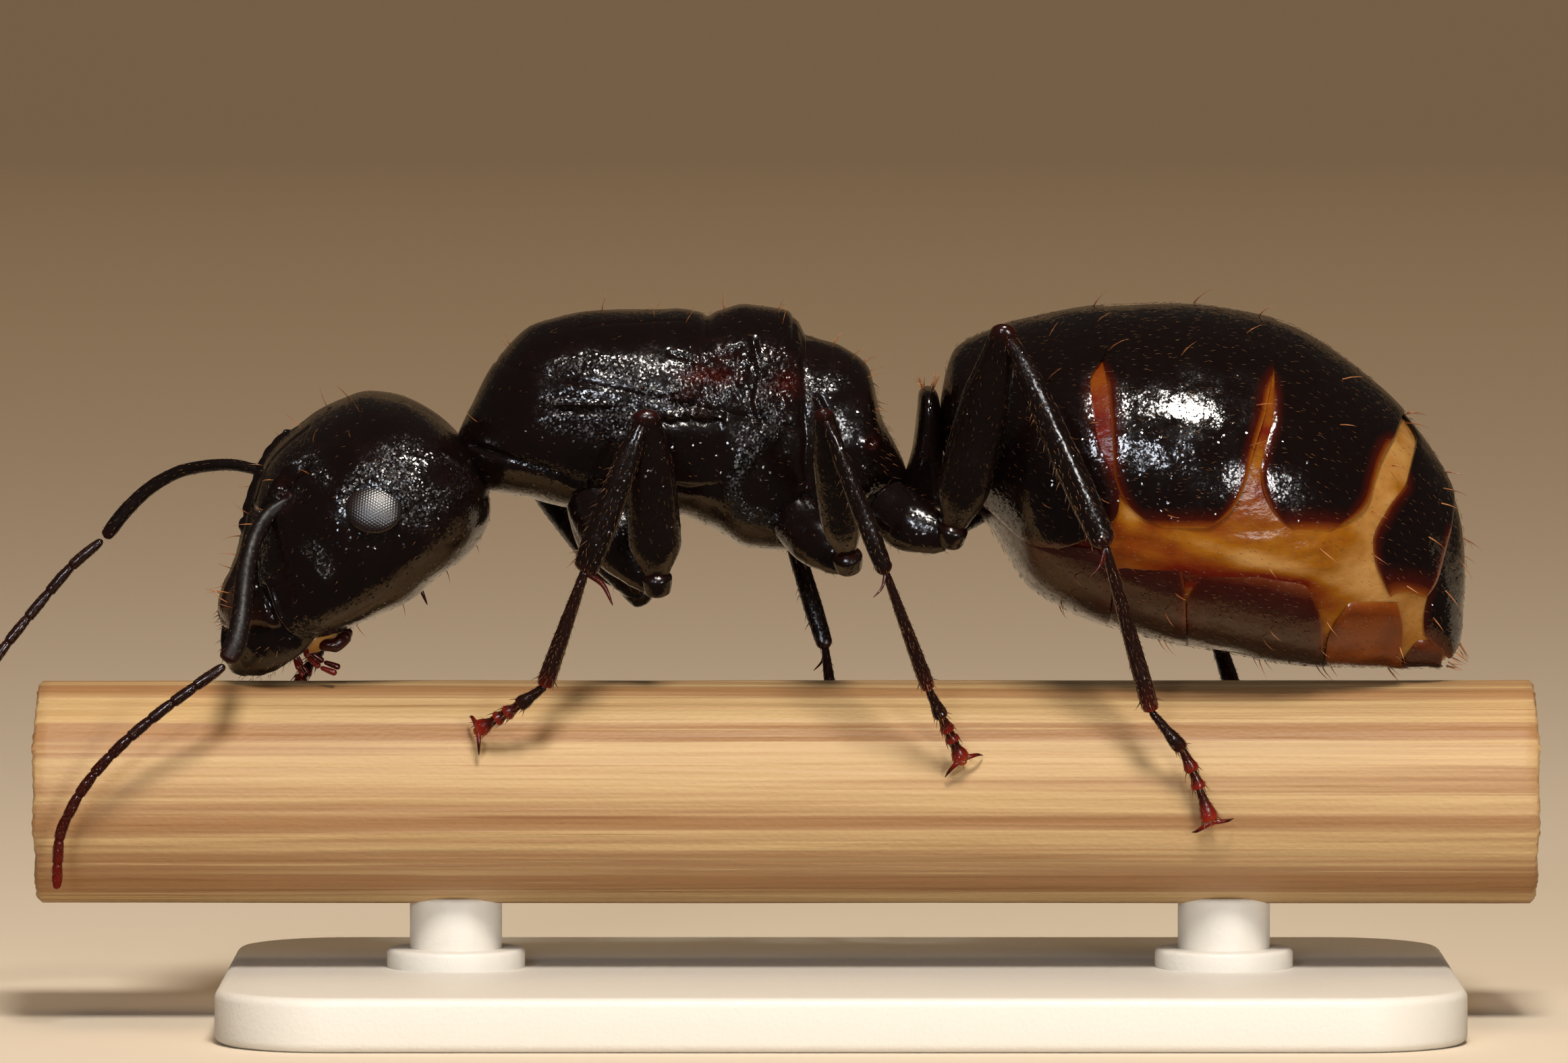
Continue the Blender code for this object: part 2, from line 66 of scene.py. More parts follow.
# Sections (place along, top, bottom, half width)
HEAD_SECTIONS = (
    (-1.82, -0.20, -0.20, 0.00),
    (-1.62, 0.58, -1.00, 1.18),
    (-1.25, 0.96, -1.42, 1.58),
    (-0.65, 1.19, -1.49, 1.74),
    (0.00, 1.27, -1.37, 1.69),
    (0.60, 1.07, -1.17, 1.54),
    (1.20, 0.77, -0.88, 1.32),
    (1.50, 0.65, -0.62, 1.14),
    (1.78, 0.57, -0.10, 0.86),
    (2.02, 0.42, 0.14, 0.50),
    (2.08, 0.28, 0.28, 0.00),
)
TRUNK_SECTIONS = (
    (-5.04, 7.28, 7.28, 0.00),
    (-4.80, 8.00, 6.94, 0.62),
    (-4.42, 8.67, 6.88, 0.98),
    (-3.90, 9.10, 6.78, 1.22),
    (-3.10, 9.25, 6.62, 1.38),
    (-2.20, 9.27, 6.60, 1.42),
    (-1.72, 9.22, 6.45, 1.38),
    (-1.20, 9.33, 6.17, 1.34),
    (-0.72, 9.26, 6.13, 1.22),
    (-0.38, 8.92, 6.34, 1.10),
    (0.02, 8.78, 6.60, 1.02),
    (0.36, 8.52, 6.78, 0.90),
    (0.54, 7.86, 6.88, 0.72),
    (0.88, 7.05, 7.05, 0.00),
)
# The petiole's sections are level: (height, front, back, half width)
PETIOLE_SECTIONS = (
    (6.66, 0.98, 1.20, 0.00),
    (6.70, 0.78, 1.44, 0.34),
    (7.10, 0.84, 1.40, 0.46),
    (7.50, 0.95, 1.33, 0.64),
    (7.90, 0.99, 1.31, 0.72),
    (8.18, 1.02, 1.26, 0.60),
    (8.27, 1.14, 1.14, 0.00),
)
# The gaster's sections lean back: (top x, top z, bottom x, bottom z, half width)
GASTER_SECTIONS = (
    (1.24, 7.78, 1.24, 7.78, 0.00),
    (1.42, 8.70, 1.42, 7.12, 0.92),
    (1.95, 9.03, 1.95, 6.36, 1.46),
    (2.60, 9.21, 2.50, 5.60, 2.00),
    (3.60, 9.35, 3.50, 5.12, 2.32),
    (4.75, 9.34, 4.65, 4.84, 2.40),
    (5.75, 9.13, 5.40, 4.70, 2.26),
    (6.82, 8.46, 6.05, 4.61, 1.92),
    (7.66, 7.55, 6.65, 4.59, 1.46),
    (8.10, 6.55, 7.15, 4.58, 0.96),
    (8.13, 5.40, 7.65, 4.58, 0.50),
    (8.00, 4.72, 8.00, 4.72, 0.00),
)
# Sutures that part the trunk's plates: (x, z, lean in degrees back from upright)
SCUTUM_PLANE = (-3.30, 8.36, -78.2)
PRONOTUM_PLANE = (-3.00, 7.45, 25.0)
SCUTELLUM_PLANE = (-1.72, 9.0, 0.0)
PROPODEUM_PLANE = (-0.45, 7.5, 0.0)

# Of the left compound eye, in the head's own axes
EYE_PLACE = (-0.45, 1.63, 0.23)
EYE_RADII = (0.325, 0.13, 0.37)
EYE_TURN = math.radians(40.0)
# Across one lens, drawn nearly twice as wide as a real one so that it shows
FACET = 0.040
DOME_HEIGHT = 0.0040
OCELLI = ((-0.74, 0.0), (-0.94, 0.26), (-0.94, -0.26))  # (place along, how far to one side)
OCELLUS_RADIUS = 0.055

PERCH_RADIUS = 1.48
PERCH_LENGTH = 19.5
PERCH_MIDDLE = -0.7
PERCH_AXIS = 2.98


def linear(code):
    """An sRGB hex colour as the linear red, green and blue that a shader takes."""
    channels = (int(code[place : place + 2], 16) / 255 for place in (1, 3, 5))
    return tuple(c / 12.92 if c <= 0.04045 else ((c + 0.055) / 1.055) ** 2.4 for c in channels)


def colour_property(name, description, code):
    """A colour that the sidebar shows, with its default given as a hex code."""
    return FloatVectorProperty(
        name=name, description=description, default=linear(code), size=3, min=0, max=1, subtype="COLOR"
    )


def power_property(name, default):
    """The power of a light, in watts."""
    return FloatProperty(name=name, description=f"Power of the {name.lower()}", default=default, unit="POWER")


# ---------------------------------------------------------------- curved forms


def smooth_track(values, u):
    """The rows at places u of a smooth curve through the rows of values, which never swings past them."""
    values = np.asarray(values, float)
    steps = np.diff(values, axis=0)
    before, after = np.vstack([steps[:1], steps]), np.vstack([steps, steps[-1:]])
    together = before + after
    safe = np.where(np.abs(together) < 1e-12, 1.0, together)
    slopes = np.where(before * after > 0, 2 * before * after / safe, 0.0)
    span = np.clip(u.astype(int), 0, len(steps) - 1)
    f = (u - span)[:, None]
    start, end, step = slopes[span], slopes[span + 1], steps[span]
    return values[span] + f * start + f**2 * (3 * step - 2 * start - end) + f**3 * (start + end - 2 * step)


def unit(vectors):
    """The rows made one long; a row of nothing stays nothing."""
    lengths = np.linalg.norm(vectors, axis=1, keepdims=True)
    return vectors / np.where(lengths < 1e-12, 1.0, lengths)


NUDGE = 1e-3  # the step, in share or in angle, that directions on a form are measured over


class Skin:
    """A closed form swept along a line. u runs from 0 at one end to 1 at the other, and the angle runs
    round it from 0 on top, growing to the ant's left. Subclasses say where its sections are."""

    squareness = 2.0
    place = Matrix.Identity(4)
    ends = 0.08  # the share at each end where the rings draw together

    def frames(self, u):
        """The middle of each section, and the arms from it to its top and to its left."""
        raise NotImplementedError

    def spread(self, share):
        """Places along it for even shares, drawn together where it closes in a round tip."""
        tip = self.ends
        u = np.where(share < tip, share**2 / tip, share)
        return np.where(share > 1 - tip, 1 - (1 - share) ** 2 / tip, u)

    def point(self, u, angle):
        """Points on it, in the form's own axes."""
        middle, upward, sideways = self.frames(u)
        along, across = (
            np.sign(c) * np.abs(c) ** (2 / self.squareness) for c in (np.cos(angle), np.sin(angle))
        )
        return middle + upward * along[:, None] + sideways * across[:, None]

    def surface(self, u, angle):
        """Points, outward normals and directions towards the far end, in the form's own axes."""
        points = self.point(u, angle)
        ahead, behind = np.minimum(u + NUDGE, 1), np.maximum(u - NUDGE, 0)
        forward = self.point(ahead, angle) - self.point(behind, angle)
        around = self.point(u, angle + NUDGE) - self.point(u, angle - NUDGE)
        normals = unit(np.cross(around, forward))
        outward = points - self.frames(u)[0]
        normals *= np.where((normals * outward).sum(1) < 0, -1.0, 1.0)[:, None]
        return points, normals, unit(forward)

    def world(self, u, angle):
        """As surface, turned and moved to where the form stands."""
        turn = np.array(self.place.to_3x3())
        points, normals, forward = self.surface(u, angle)
        return points @ turn.T + np.array(self.place.translation), normals @ turn.T, forward @ turn.T

    def locate(self, x, z):
        """The place u and the angle to the left at a point of the form's side view."""
        u = np.linspace(0.002, 0.998, 3000)
        middle, upward, _ = self.frames(u)
        rise = upward[:, [0, 2]]
        height = np.linalg.norm(rise, axis=1)
        rise = rise / height[:, None]
        away = np.array((x, z)) - middle[:, [0, 2]]
        off = np.abs(away[:, 0] * rise[:, 1] - away[:, 1] * rise[:, 0])
        share = (away * rise).sum(1) / height
        best = int(np.argmin(off + np.maximum(np.abs(share) - 1, 0) * 5))
        part = float(np.clip(share[best], -1, 1))
        return u[best], math.acos(math.copysign(abs(part) ** (self.squareness / 2), part))


class BodySkin(Skin):
    """A form through sections (top x, top z, bottom x, bottom z, half width)."""

    def __init__(self, sections, squareness=2.0, left=-1.0, place=None):
        rows = np.array(sections)
        top, low = rows[:, 0:2], rows[:, 2:4]
        lean = np.arctan2(top[:, 0] - low[:, 0], top[:, 1] - low[:, 1])
        closed = ((top - low) ** 2).sum(1) < 1e-9
        lean[0] = lean[1] if closed[0] else lean[0]
        lean[-1] = lean[-2] if closed[-1] else lean[-1]
        middle = (top + low) / 2
        half2 = ((top - low) ** 2).sum(1) / 4
        self.tracks = np.column_stack([middle, lean, half2, rows[:, 4] ** 2])
        self.squareness = squareness
        self.left = left
        self.place = place or Matrix.Identity(4)
        self.ends = 1 / (len(rows) - 1)

    def frames(self, u):
        rows = smooth_track(self.tracks, u * (len(self.tracks) - 1))
        half = np.sqrt(np.maximum(rows[:, 3], 1e-10))
        width = np.sqrt(np.maximum(rows[:, 4], 1e-10))
        flat = np.zeros(len(u))
        middle = np.column_stack([rows[:, 0], flat, rows[:, 1]])
        upward = np.column_stack([np.sin(rows[:, 2]) * half, flat, np.cos(rows[:, 2]) * half])
        return middle, upward, np.column_stack([flat, self.left * width, flat])


class LimbSkin(Skin):
    """A limb along joints (x, y, z), with a radius at shares of its length; flatness thins it sideways."""

    def __init__(self, joints, radii, flatness=1.0, broad=(0.0, 1.0, 0.0)):
        self.joints = np.array(joints, float)
        lengths = np.linalg.norm(np.diff(self.joints, axis=0), axis=1)
        self.travel = np.concatenate([[0.0], np.cumsum(lengths)])
        self.length = self.travel[-1]
        self.shares, radius = np.array(radii).T
        self.radius2 = (radius**2)[:, None]
        self.flatness = flatness
        self.broad = np.array(broad)

    def centre(self, u):
        knots = np.interp(u * self.length, self.travel, np.arange(len(self.travel)))
        return smooth_track(self.joints, knots)

    def frames(self, u):
        along = unit(self.centre(np.minimum(u + NUDGE, 1)) - self.centre(np.maximum(u - NUDGE, 0)))
        upward = unit(np.cross(along, self.broad))
        knots = np.interp(u, self.shares, np.arange(len(self.shares)))
        radius = np.sqrt(np.maximum(smooth_track(self.radius2, knots), 1e-10))
        return self.centre(u), upward * radius, np.cross(along, upward) * radius * self.flatness


def upright(sections):
    """Sections (x, top, bottom, half width) as the leaning kind."""
    return [(x, top, x, bottom, half_width) for x, top, bottom, half_width in sections]


def head_skin():
    """The head in its own axes: x from its back to the mouth, y to the left, z to the forehead."""
    forward = Vector((-math.cos(HEAD_PITCH), 0.0, -math.sin(HEAD_PITCH)))
    upward = Vector((-math.sin(HEAD_PITCH), 0.0, math.cos(HEAD_PITCH)))
    axes = Matrix((forward, upward.cross(forward), upward)).transposed().to_4x4()
    place = Matrix.Translation(HEAD_CENTRE) @ axes @ Matrix.Rotation(-HEAD_ROLL, 4, "X")
    sections = []
    for x, top, bottom, half_width in HEAD_SECTIONS:
        # The rolled section must still reach the outline's top and bottom.
        half, middle = (top - bottom) / 2, (top + bottom) / 2
        level = math.sqrt(max(half**2 - (half_width * math.sin(HEAD_ROLL)) ** 2, 0.0))
        level /= math.cos(HEAD_ROLL)
        sections.append((x, middle + level, x, middle - level, half_width))
    return BodySkin(sections, squareness=2.15, left=1.0, place=place)


HEAD = head_skin()
TRUNK = BodySkin(upright(TRUNK_SECTIONS), squareness=2.3)
PETIOLE = BodySkin([(front, z, back, z, half) for z, front, back, half in PETIOLE_SECTIONS], squareness=2.4)
GASTER = BodySkin(GASTER_SECTIONS)


# ---------------------------------------------------------------- relief


def clamp(values):
    """The values, held between 0 and 1."""
    return np.clip(values, 0, 1)


def bell(distance, width):
    """1 at no distance, falling smoothly to nothing past about two widths."""
    return np.exp(-((distance / width) ** 2))


def flat_view(points, view):
    """Points as seen from the side or from above, and how far each faces that way, 0 to 1."""
    if view == "side":
        return points[:, [0, 2]], clamp(np.abs(points[:, 1]) * 2 - 0.2)
    half_way = {"forehead": 0.0, "back": 8.4}[view]
    facing = clamp((points[:, 2] - half_way) * 3)
    return np.column_stack([points[:, 0], np.abs(points[:, 1])]), facing


def line_distance(flat, line):
    """How far each flat point is from a line through a few corners."""
    least = np.full(len(flat), 1e9)
    for one, two in zip(line, line[1:]):
        start, run = np.array(one), np.subtract(two, one)
        share = clamp(((flat - start) @ run) / (run @ run))
        least = np.minimum(least, np.linalg.norm(flat - start - share[:, None] * run, axis=1))
    return least


def line_relief(points, rows):
    """How far ridges (height above 0) and grooves (below 0) lift each point: (view, width, height, line)."""
    lift = np.zeros(len(points))
    for view, width, height, line in rows:
        flat, facing = flat_view(points, view)
        lift += height * bell(line_distance(flat, line), width) * facing
    return lift


def spot_relief(points, rows):
    """How far round bumps and pits lift each point: (view, radius, height, centre)."""
    lift = np.zeros(len(points))
    for view, radius, height, centre in rows:
        flat, facing = flat_view(points, view)
        lift += height * bell(np.linalg.norm(flat - np.array(centre), axis=1), radius) * facing
    return lift


def roughness_of(points, size):
    """Smooth random lumps about this far apart, from -1 to 1."""
    return np.array([noise.noise(Vector(point) / size) for point in points])


def rough_share(points, patches):
    """How much of each point lies in a patch of rough, sparkling cuticle: (strength, width, line)."""
    flat, facing = flat_view(points, "side")
    share = np.zeros(len(points))
    for strength, width, line in patches:
        share = np.maximum(share, strength * bell(line_distance(flat, line), width))
    return share * facing


def plane_distance(points, plane):
    """How far each point is ahead of a leaning plane, on its +X side."""
    x, z, lean = plane
    lean = math.radians(lean)
    return (points[:, 0] - x) * math.cos(lean) - (points[:, 2] - z) * math.sin(lean)


# In the head's own axes. Seen from the side: (along, height); from above: (along, distance from midline).
HEAD_LINES = (
    ("forehead", 0.045, 0.070, ((0.98, 0.36), (0.55, 0.50), (0.15, 0.60), (-0.30, 0.72))),  # frontal ridges
    ("forehead", 0.070, -0.060, ((0.62, 0.66), (0.20, 0.78), (-0.20, 0.86))),
    ("forehead", 0.022, -0.022, ((-0.60, 0.0), (0.66, 0.0))),  # furrow down the forehead
    # the clypeus, with its keel
    ("forehead", 0.035, -0.045, ((0.70, 0.0), (0.66, 0.26), (0.92, 0.46), (1.22, 0.74), (1.46, 0.90))),
    ("forehead", 0.110, 0.035, ((0.80, 0.0), (1.90, 0.0))),
    ("side", 0.035, 0.040, ((1.22, 0.42), (1.40, 0.14), (1.47, -0.15), (1.42, -0.50))),  # rim of the cheek
    ("side", 0.045, -0.070, ((1.32, 0.44), (1.50, 0.14), (1.57, -0.15), (1.52, -0.50))),
)
ANTENNA_SOCKET = (0.22, 0.84)
HEAD_SPOTS = (("forehead", 0.15, -0.11, ANTENNA_SOCKET),)
# A curved swelling low on the flank
MESOPLEURON_ARC = ((-0.84, 7.78), (-1.20, 7.40), (-1.40, 7.02), (-1.28, 6.68), (-0.88, 6.56))
TRUNK_LINES = (
    ("side", 0.045, -0.060, ((-4.75, 7.52), (-4.20, 7.34), (-3.70, 7.20), (-3.30, 7.00))),
    ("side", 0.030, 0.035, ((-3.80, 8.10), (-3.40, 8.07), (-2.95, 8.08))),  # fold along the pronotum
    ("side", 0.040, -0.030, ((-3.75, 8.01), (-3.35, 7.98), (-2.98, 7.99))),
    ("side", 0.035, 0.060, ((-2.24, 7.93), (-1.90, 7.96), (-1.52, 7.93))),  # ridge under the wing
    ("side", 0.045, -0.045, ((-2.22, 7.84), (-1.90, 7.87), (-1.55, 7.84))),
    ("side", 0.045, -0.025, ((-2.55, 7.10), (-1.95, 6.98), (-1.50, 7.04))),
    ("side", 0.040, -0.050, ((-1.12, 8.90), (-1.02, 8.50), (-1.10, 8.12), (-0.98, 7.80))),
    ("side", 0.030, -0.040, ((-2.20, 8.75), (-1.75, 8.62), (-1.30, 8.82))),
    ("side", 0.050, -0.050, ((-0.10, 6.70), (0.00, 7.20), (-0.10, 7.75), (-0.30, 8.15))),
    ("side", 0.090, 0.050, MESOPLEURON_ARC),
    ("back", 0.022, -0.016, ((-3.35, 0.78), (-1.95, 0.70))),
    ("back", 0.030, -0.012, ((-4.40, 0.0), (-3.30, 0.0))),
)
BREATHING_PORE = (0.40, 7.56)
TRUNK_SPOTS = (
    ("side", 0.13, 0.090, (-1.62, 8.50)),  # stumps of the shed wings
    ("side", 0.10, 0.080, (-0.84, 8.46)),
    ("side", 0.10, 0.050, (-1.95, 8.22)),
    ("side", 0.09, 0.050, (-1.28, 8.40)),
    ("side", 0.10, 0.045, BREATHING_PORE),  # its rim and its hole
    ("side", 0.045, -0.110, BREATHING_PORE),
    ("side", 0.16, 0.060, (0.32, 6.98)),
)
# Rough cuticle that sparkles, as lines in the side view: (strength, width, line)
HEAD_PATCHES = (
    (0.9, 0.12, ((-6.36, 6.92), (-6.30, 7.10), (-6.12, 7.24), (-5.90, 7.26))),
    (0.9, 0.22, ((-5.78, 7.36), (-5.60, 7.10), (-5.56, 6.76), (-5.40, 6.66))),
    (0.9, 0.15, ((-5.42, 6.74), (-5.10, 6.86), (-4.82, 7.04))),
    (0.8, 0.13, ((-5.86, 7.46), (-5.52, 7.62), (-5.28, 7.40))),
    (1.8, 0.12, ((-7.24, 6.86), (-7.04, 6.96))),
    (1.5, 0.15, ((-6.86, 7.40), (-6.66, 7.16))),
    (2.0, 0.12, ((-6.84, 6.24), (-6.70, 6.10), (-6.62, 5.94))),
    (1.2, 0.10, ((-7.60, 5.80), (-7.42, 6.60))),
    (1.2, 0.12, ((-7.42, 4.98), (-7.10, 5.04), (-6.86, 5.20))),
)
TRUNK_PATCHES = (
    (1.0, 0.11, ((-3.72, 8.55), (-3.20, 8.62), (-2.72, 8.50), (-2.46, 8.20))),
    (1.0, 0.13, ((-3.72, 8.06), (-3.36, 8.04), (-2.96, 8.02), (-2.72, 7.88))),
    (0.8, 0.14, ((-3.76, 7.84), (-3.40, 7.78), (-2.90, 7.70))),
    (0.8, 0.10, ((-4.10, 7.38), (-3.70, 7.24), (-3.26, 7.06))),
    (3.0, 0.09, (*MESOPLEURON_ARC, (-0.42, 6.80))),
    (1.0, 0.10, ((-5.00, 7.40), (-4.78, 7.05))),
    (1.0, 0.12, ((-0.98, 8.26), (-1.00, 7.92))),
    (0.6, 0.09, ((-0.42, 8.12), (-0.26, 8.33), (0.06, 8.36))),
    (0.7, 0.12, ((0.36, 7.30), (0.48, 6.98))),
)
CELL = 0.10  # between the lumps of rough cuticle
# Where the shed wings left crumpled, dark red cuticle: (centre, radii)
WING_SCARS = (((-1.60, 8.50), (0.46, 0.36)), ((-0.84, 8.44), (0.34, 0.38)), ((-1.98, 8.20), (0.30, 0.20)))


def scar_share(points):
    """How much of each point lies in a wing scar."""
    flat, facing = flat_view(points, "side")
    share = np.zeros(len(points))
    for centre, radii in WING_SCARS:
        share = np.maximum(share, bell(np.linalg.norm((flat - centre) / radii, axis=1), 0.85))
    return share * facing


def head_grain(points):
    """How rough the head is. Its patches are placed where they stand, not in the head's own axes."""
    near_side = points * np.array((1.0, 0.0, 1.0)) + np.abs(points) * np.array((0.0, 1.0, 0.0))
    standing = near_side @ np.array(HEAD.place.to_3x3()).T + np.array(HEAD.place.translation)
    return rough_share(standing, HEAD_PATCHES)


def trunk_grain(points):
    return np.maximum(rough_share(points, TRUNK_PATCHES), scar_share(points))


def head_relief(points):
    """Ridges and sockets, a dip round each eye, and faint lumps that grow where the cuticle is rough."""
    lift = line_relief(points, HEAD_LINES) + spot_relief(points, HEAD_SPOTS)
    eye = np.column_stack([points[:, 0], np.abs(points[:, 1]), points[:, 2]]) - np.array(EYE_PLACE)
    eye_distance = np.linalg.norm(eye / np.array((0.92, 1.0, 1.0)), axis=1)
    lift -= 0.05 * bell(eye_distance, 0.30)
    return lift + 0.010 * roughness_of(points, 0.45) + 0.016 * head_grain(points) * roughness_of(points, CELL)


def trunk_relief(points):
    """Ridges, the wings' crumpled scars, and the sutures between the plates."""
    lift = line_relief(points, TRUNK_LINES) + spot_relief(points, TRUNK_SPOTS)
    crumple = np.abs(roughness_of(points, 0.11)) * 2 - 0.5 + roughness_of(points, 0.05) * 0.6
    lift += scar_share(points) * crumple * 0.065 + 0.020 * trunk_grain(points) * roughness_of(points, CELL)
    above = plane_distance(points, SCUTUM_PLANE)
    behind = plane_distance(points, PROPODEUM_PLANE)
    mesothorax, flank = (1 / (1 + np.exp(distance / 0.03)) for distance in (behind, above))
    crown = clamp((points[:, 2] - 8.75) * 4)
    # Each suture's depth and width, how far off it each point is, and the share of it that is cut there
    for depth, width, distance, share in (
        (0.018, 0.030, above, mesothorax),
        (0.018, 0.030, plane_distance(points, PRONOTUM_PLANE), flank),
        (0.045, 0.060, plane_distance(points, SCUTELLUM_PLANE), crown),
        (0.035, 0.060, behind + 0.05 * roughness_of(points, 0.25), 1.0),
        (0.020, 0.030, points[:, 0] + 0.60, crown),
    ):
        lift -= depth * bell(distance, width) * share
    return lift + 0.010 * roughness_of(points, 0.5)


def gaster_relief(points):
    """The soft skin between the plates lies under them and bulges in lengthwise folds along the flanks."""
    sink, bulge, fold = 0.10, 0.075, 0.030
    folds = roughness_of(points / np.array((6.0, 1.0, 1.0)), 0.16)
    belt = bell(points[:, 2] - 6.15 - 0.05 * (points[:, 0] - 4.7) ** 2, 0.42)
    belt *= clamp((points[:, 0] - 3.2) / 0.4) * clamp((6.8 - points[:, 0]) / 0.4)
    return belt * (bulge + fold * folds) - sink


def lumps(height, size):
    """Relief of random lumps this high and about this far apart."""
    return lambda points: height * roughness_of(points, size)


# ---------------------------------------------------------------- meshes


WELD = 1e-4  # points closer than this are one


def add_layers(bm):
    """The two attributes that the cuticle reads, made on a bmesh that lacks them."""
    return bm.verts.layers.float.new("tint"), bm.verts.layers.float.new("grain")


def wrap(skin, along, around, relief=None, tint=None, grain=None):
    """A closed mesh of along by around cells laid over a skin in millimetres, lifted by its relief. The tint
    attribute says how far its cuticle thins to red, and the grain attribute how rough it is."""
    bm = bmesh.new()
    bmesh.ops.create_grid(bm, x_segments=along, y_segments=around, size=1.0)
    shares = np.array([vert.co[:2] for vert in bm.verts])
    u, angle = skin.spread((shares[:, 0] + 1) / 2), shares[:, 1] * math.pi
    points, normals, _ = skin.surface(u, angle)
    tint_layer, grain_layer = add_layers(bm)
    tints = np.zeros(len(points)) if tint is None else tint(u, points)
    grains = np.zeros(len(points)) if grain is None else grain(points)
    if relief is not None:
        points = points + normals * relief(points)[:, None]
    for vert, point, tint_value, grain_value in zip(bm.verts, points, tints, grains):
        vert.co = point
        vert[tint_layer] = tint_value
        vert[grain_layer] = grain_value
    bmesh.ops.remove_doubles(bm, verts=bm.verts, dist=WELD)
    bm.transform(skin.place)
    bmesh.ops.recalc_face_normals(bm, faces=bm.faces)
    return bm


def keep_side(bm, plane, side, gap=0.003):
    """Cuts bm by a leaning plane, keeping its +X side (1) or its -X side (-1), and closes the cut."""
    x, z, lean = plane
    lean = math.radians(lean)
    normal = Vector((math.cos(lean), 0.0, -math.sin(lean))) * side
    cut = bmesh.ops.bisect_plane(
        bm, geom=bm.verts[:] + bm.edges[:] + bm.faces[:], plane_co=Vector((x, 0.0, z)) + normal * gap / 2,
        plane_no=normal, clear_inner=True,
    )
    rim = [item for item in cut["geom_cut"] if isinstance(item, bmesh.types.BMEdge)]
    bmesh.ops.edgeloop_fill(bm, edges=rim)


def joined(parts):
    """One bmesh holding several, which are used up."""
    whole = bmesh.new()
    add_layers(whole)
    for bm in parts:
        mesh = bpy.data.meshes.new("part")
        bm.to_mesh(mesh)
        bm.free()
        whole.from_mesh(mesh)
        bpy.data.meshes.remove(mesh)
    return whole


def linked(name, data):
    """An object of this data, linked to the scene."""
    made = bpy.data.objects.new(name, data)
    bpy.context.scene.collection.objects.link(made)
    return made


def add_object(name, mesh, finish):
    """An object of this mesh in the finish of this name."""
    mesh.materials.append(finish_named(finish))
    return linked(name, mesh)


def metre_mesh(name, bm):
    """The mesh of a bmesh in millimetres, which is used up."""
    bmesh.ops.recalc_face_normals(bm, faces=bm.faces)
    bm.transform(Matrix.Scale(MM, 4))
    mesh = bpy.data.meshes.new(name)
    bm.to_mesh(mesh)
    bm.free()
    mesh.shade_smooth()
    return mesh


def add_piece(name, bm, finish, *nodes, sharp=50.0):
    """The finished piece, riding on the one body and standing for its CAD nodes. Its one slot holds the
    material of its finish."""
    mesh = metre_mesh(name, bm)
    mesh.set_sharp_from_angle(angle=math.radians(sharp))
    piece = add_object(name, mesh, finish)
    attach(piece, "root")
    if nodes:
        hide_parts(*nodes)


def signed(joints, side, left=-1.0):
    """Joints with the distance from the midline signed for the side."""
    sign = left if side == "left" else -left
    return [(x, sign * y, z) for x, y, z in joints]


def clear_of_perch(joints, radius):
    """Joints moved straight out from the perch's axis where the limb would enter the perch."""
    moved = []
    for x, y, z in joints:
        out = Vector((y, z - PERCH_AXIS))
        reach = max(out.length, PERCH_RADIUS + radius) / out.length
        moved.append((x, out.x * reach, PERCH_AXIS + out.y * reach))
    return moved


# ---------------------------------------------------------------- materials


def new_material(name):
    """An empty material with its Principled shader wired to the output."""
    material = bpy.data.materials.new(name)
    material.use_nodes = True
    return material, material.node_tree, material.node_tree.nodes["Principled BSDF"]


def set_inputs(tree, node, inputs):
    """Sets a node's inputs to values, or links them to a socket or to a node's first output."""
    for key, value in inputs.items():
        if isinstance(value, bpy.types.Node):
            value = value.outputs[0]
        if isinstance(value, bpy.types.NodeSocket):
            tree.links.new(value, node.inputs[key])
        else:
            node.inputs[key].default_value = value


def add_node(tree, kind, inputs=None, stops=(), **settings):
    """A node with its settings, its inputs and, on a colour ramp, its (place, colour) stops."""
    node = tree.nodes.new(kind)
    for name, value in settings.items():
        setattr(node, name, value)
    for index, (place, colour) in enumerate(stops):
        elements = node.color_ramp.elements
        element = elements[index] if index < 2 else elements.new(place)
        element.position = place
        element.color = (*colour, 1.0)
    set_inputs(tree, node, inputs or {})
    return node


def per_mm(size):
    """The texture scale that makes a pattern this many millimetres long."""
    return 1 / (size * MM)


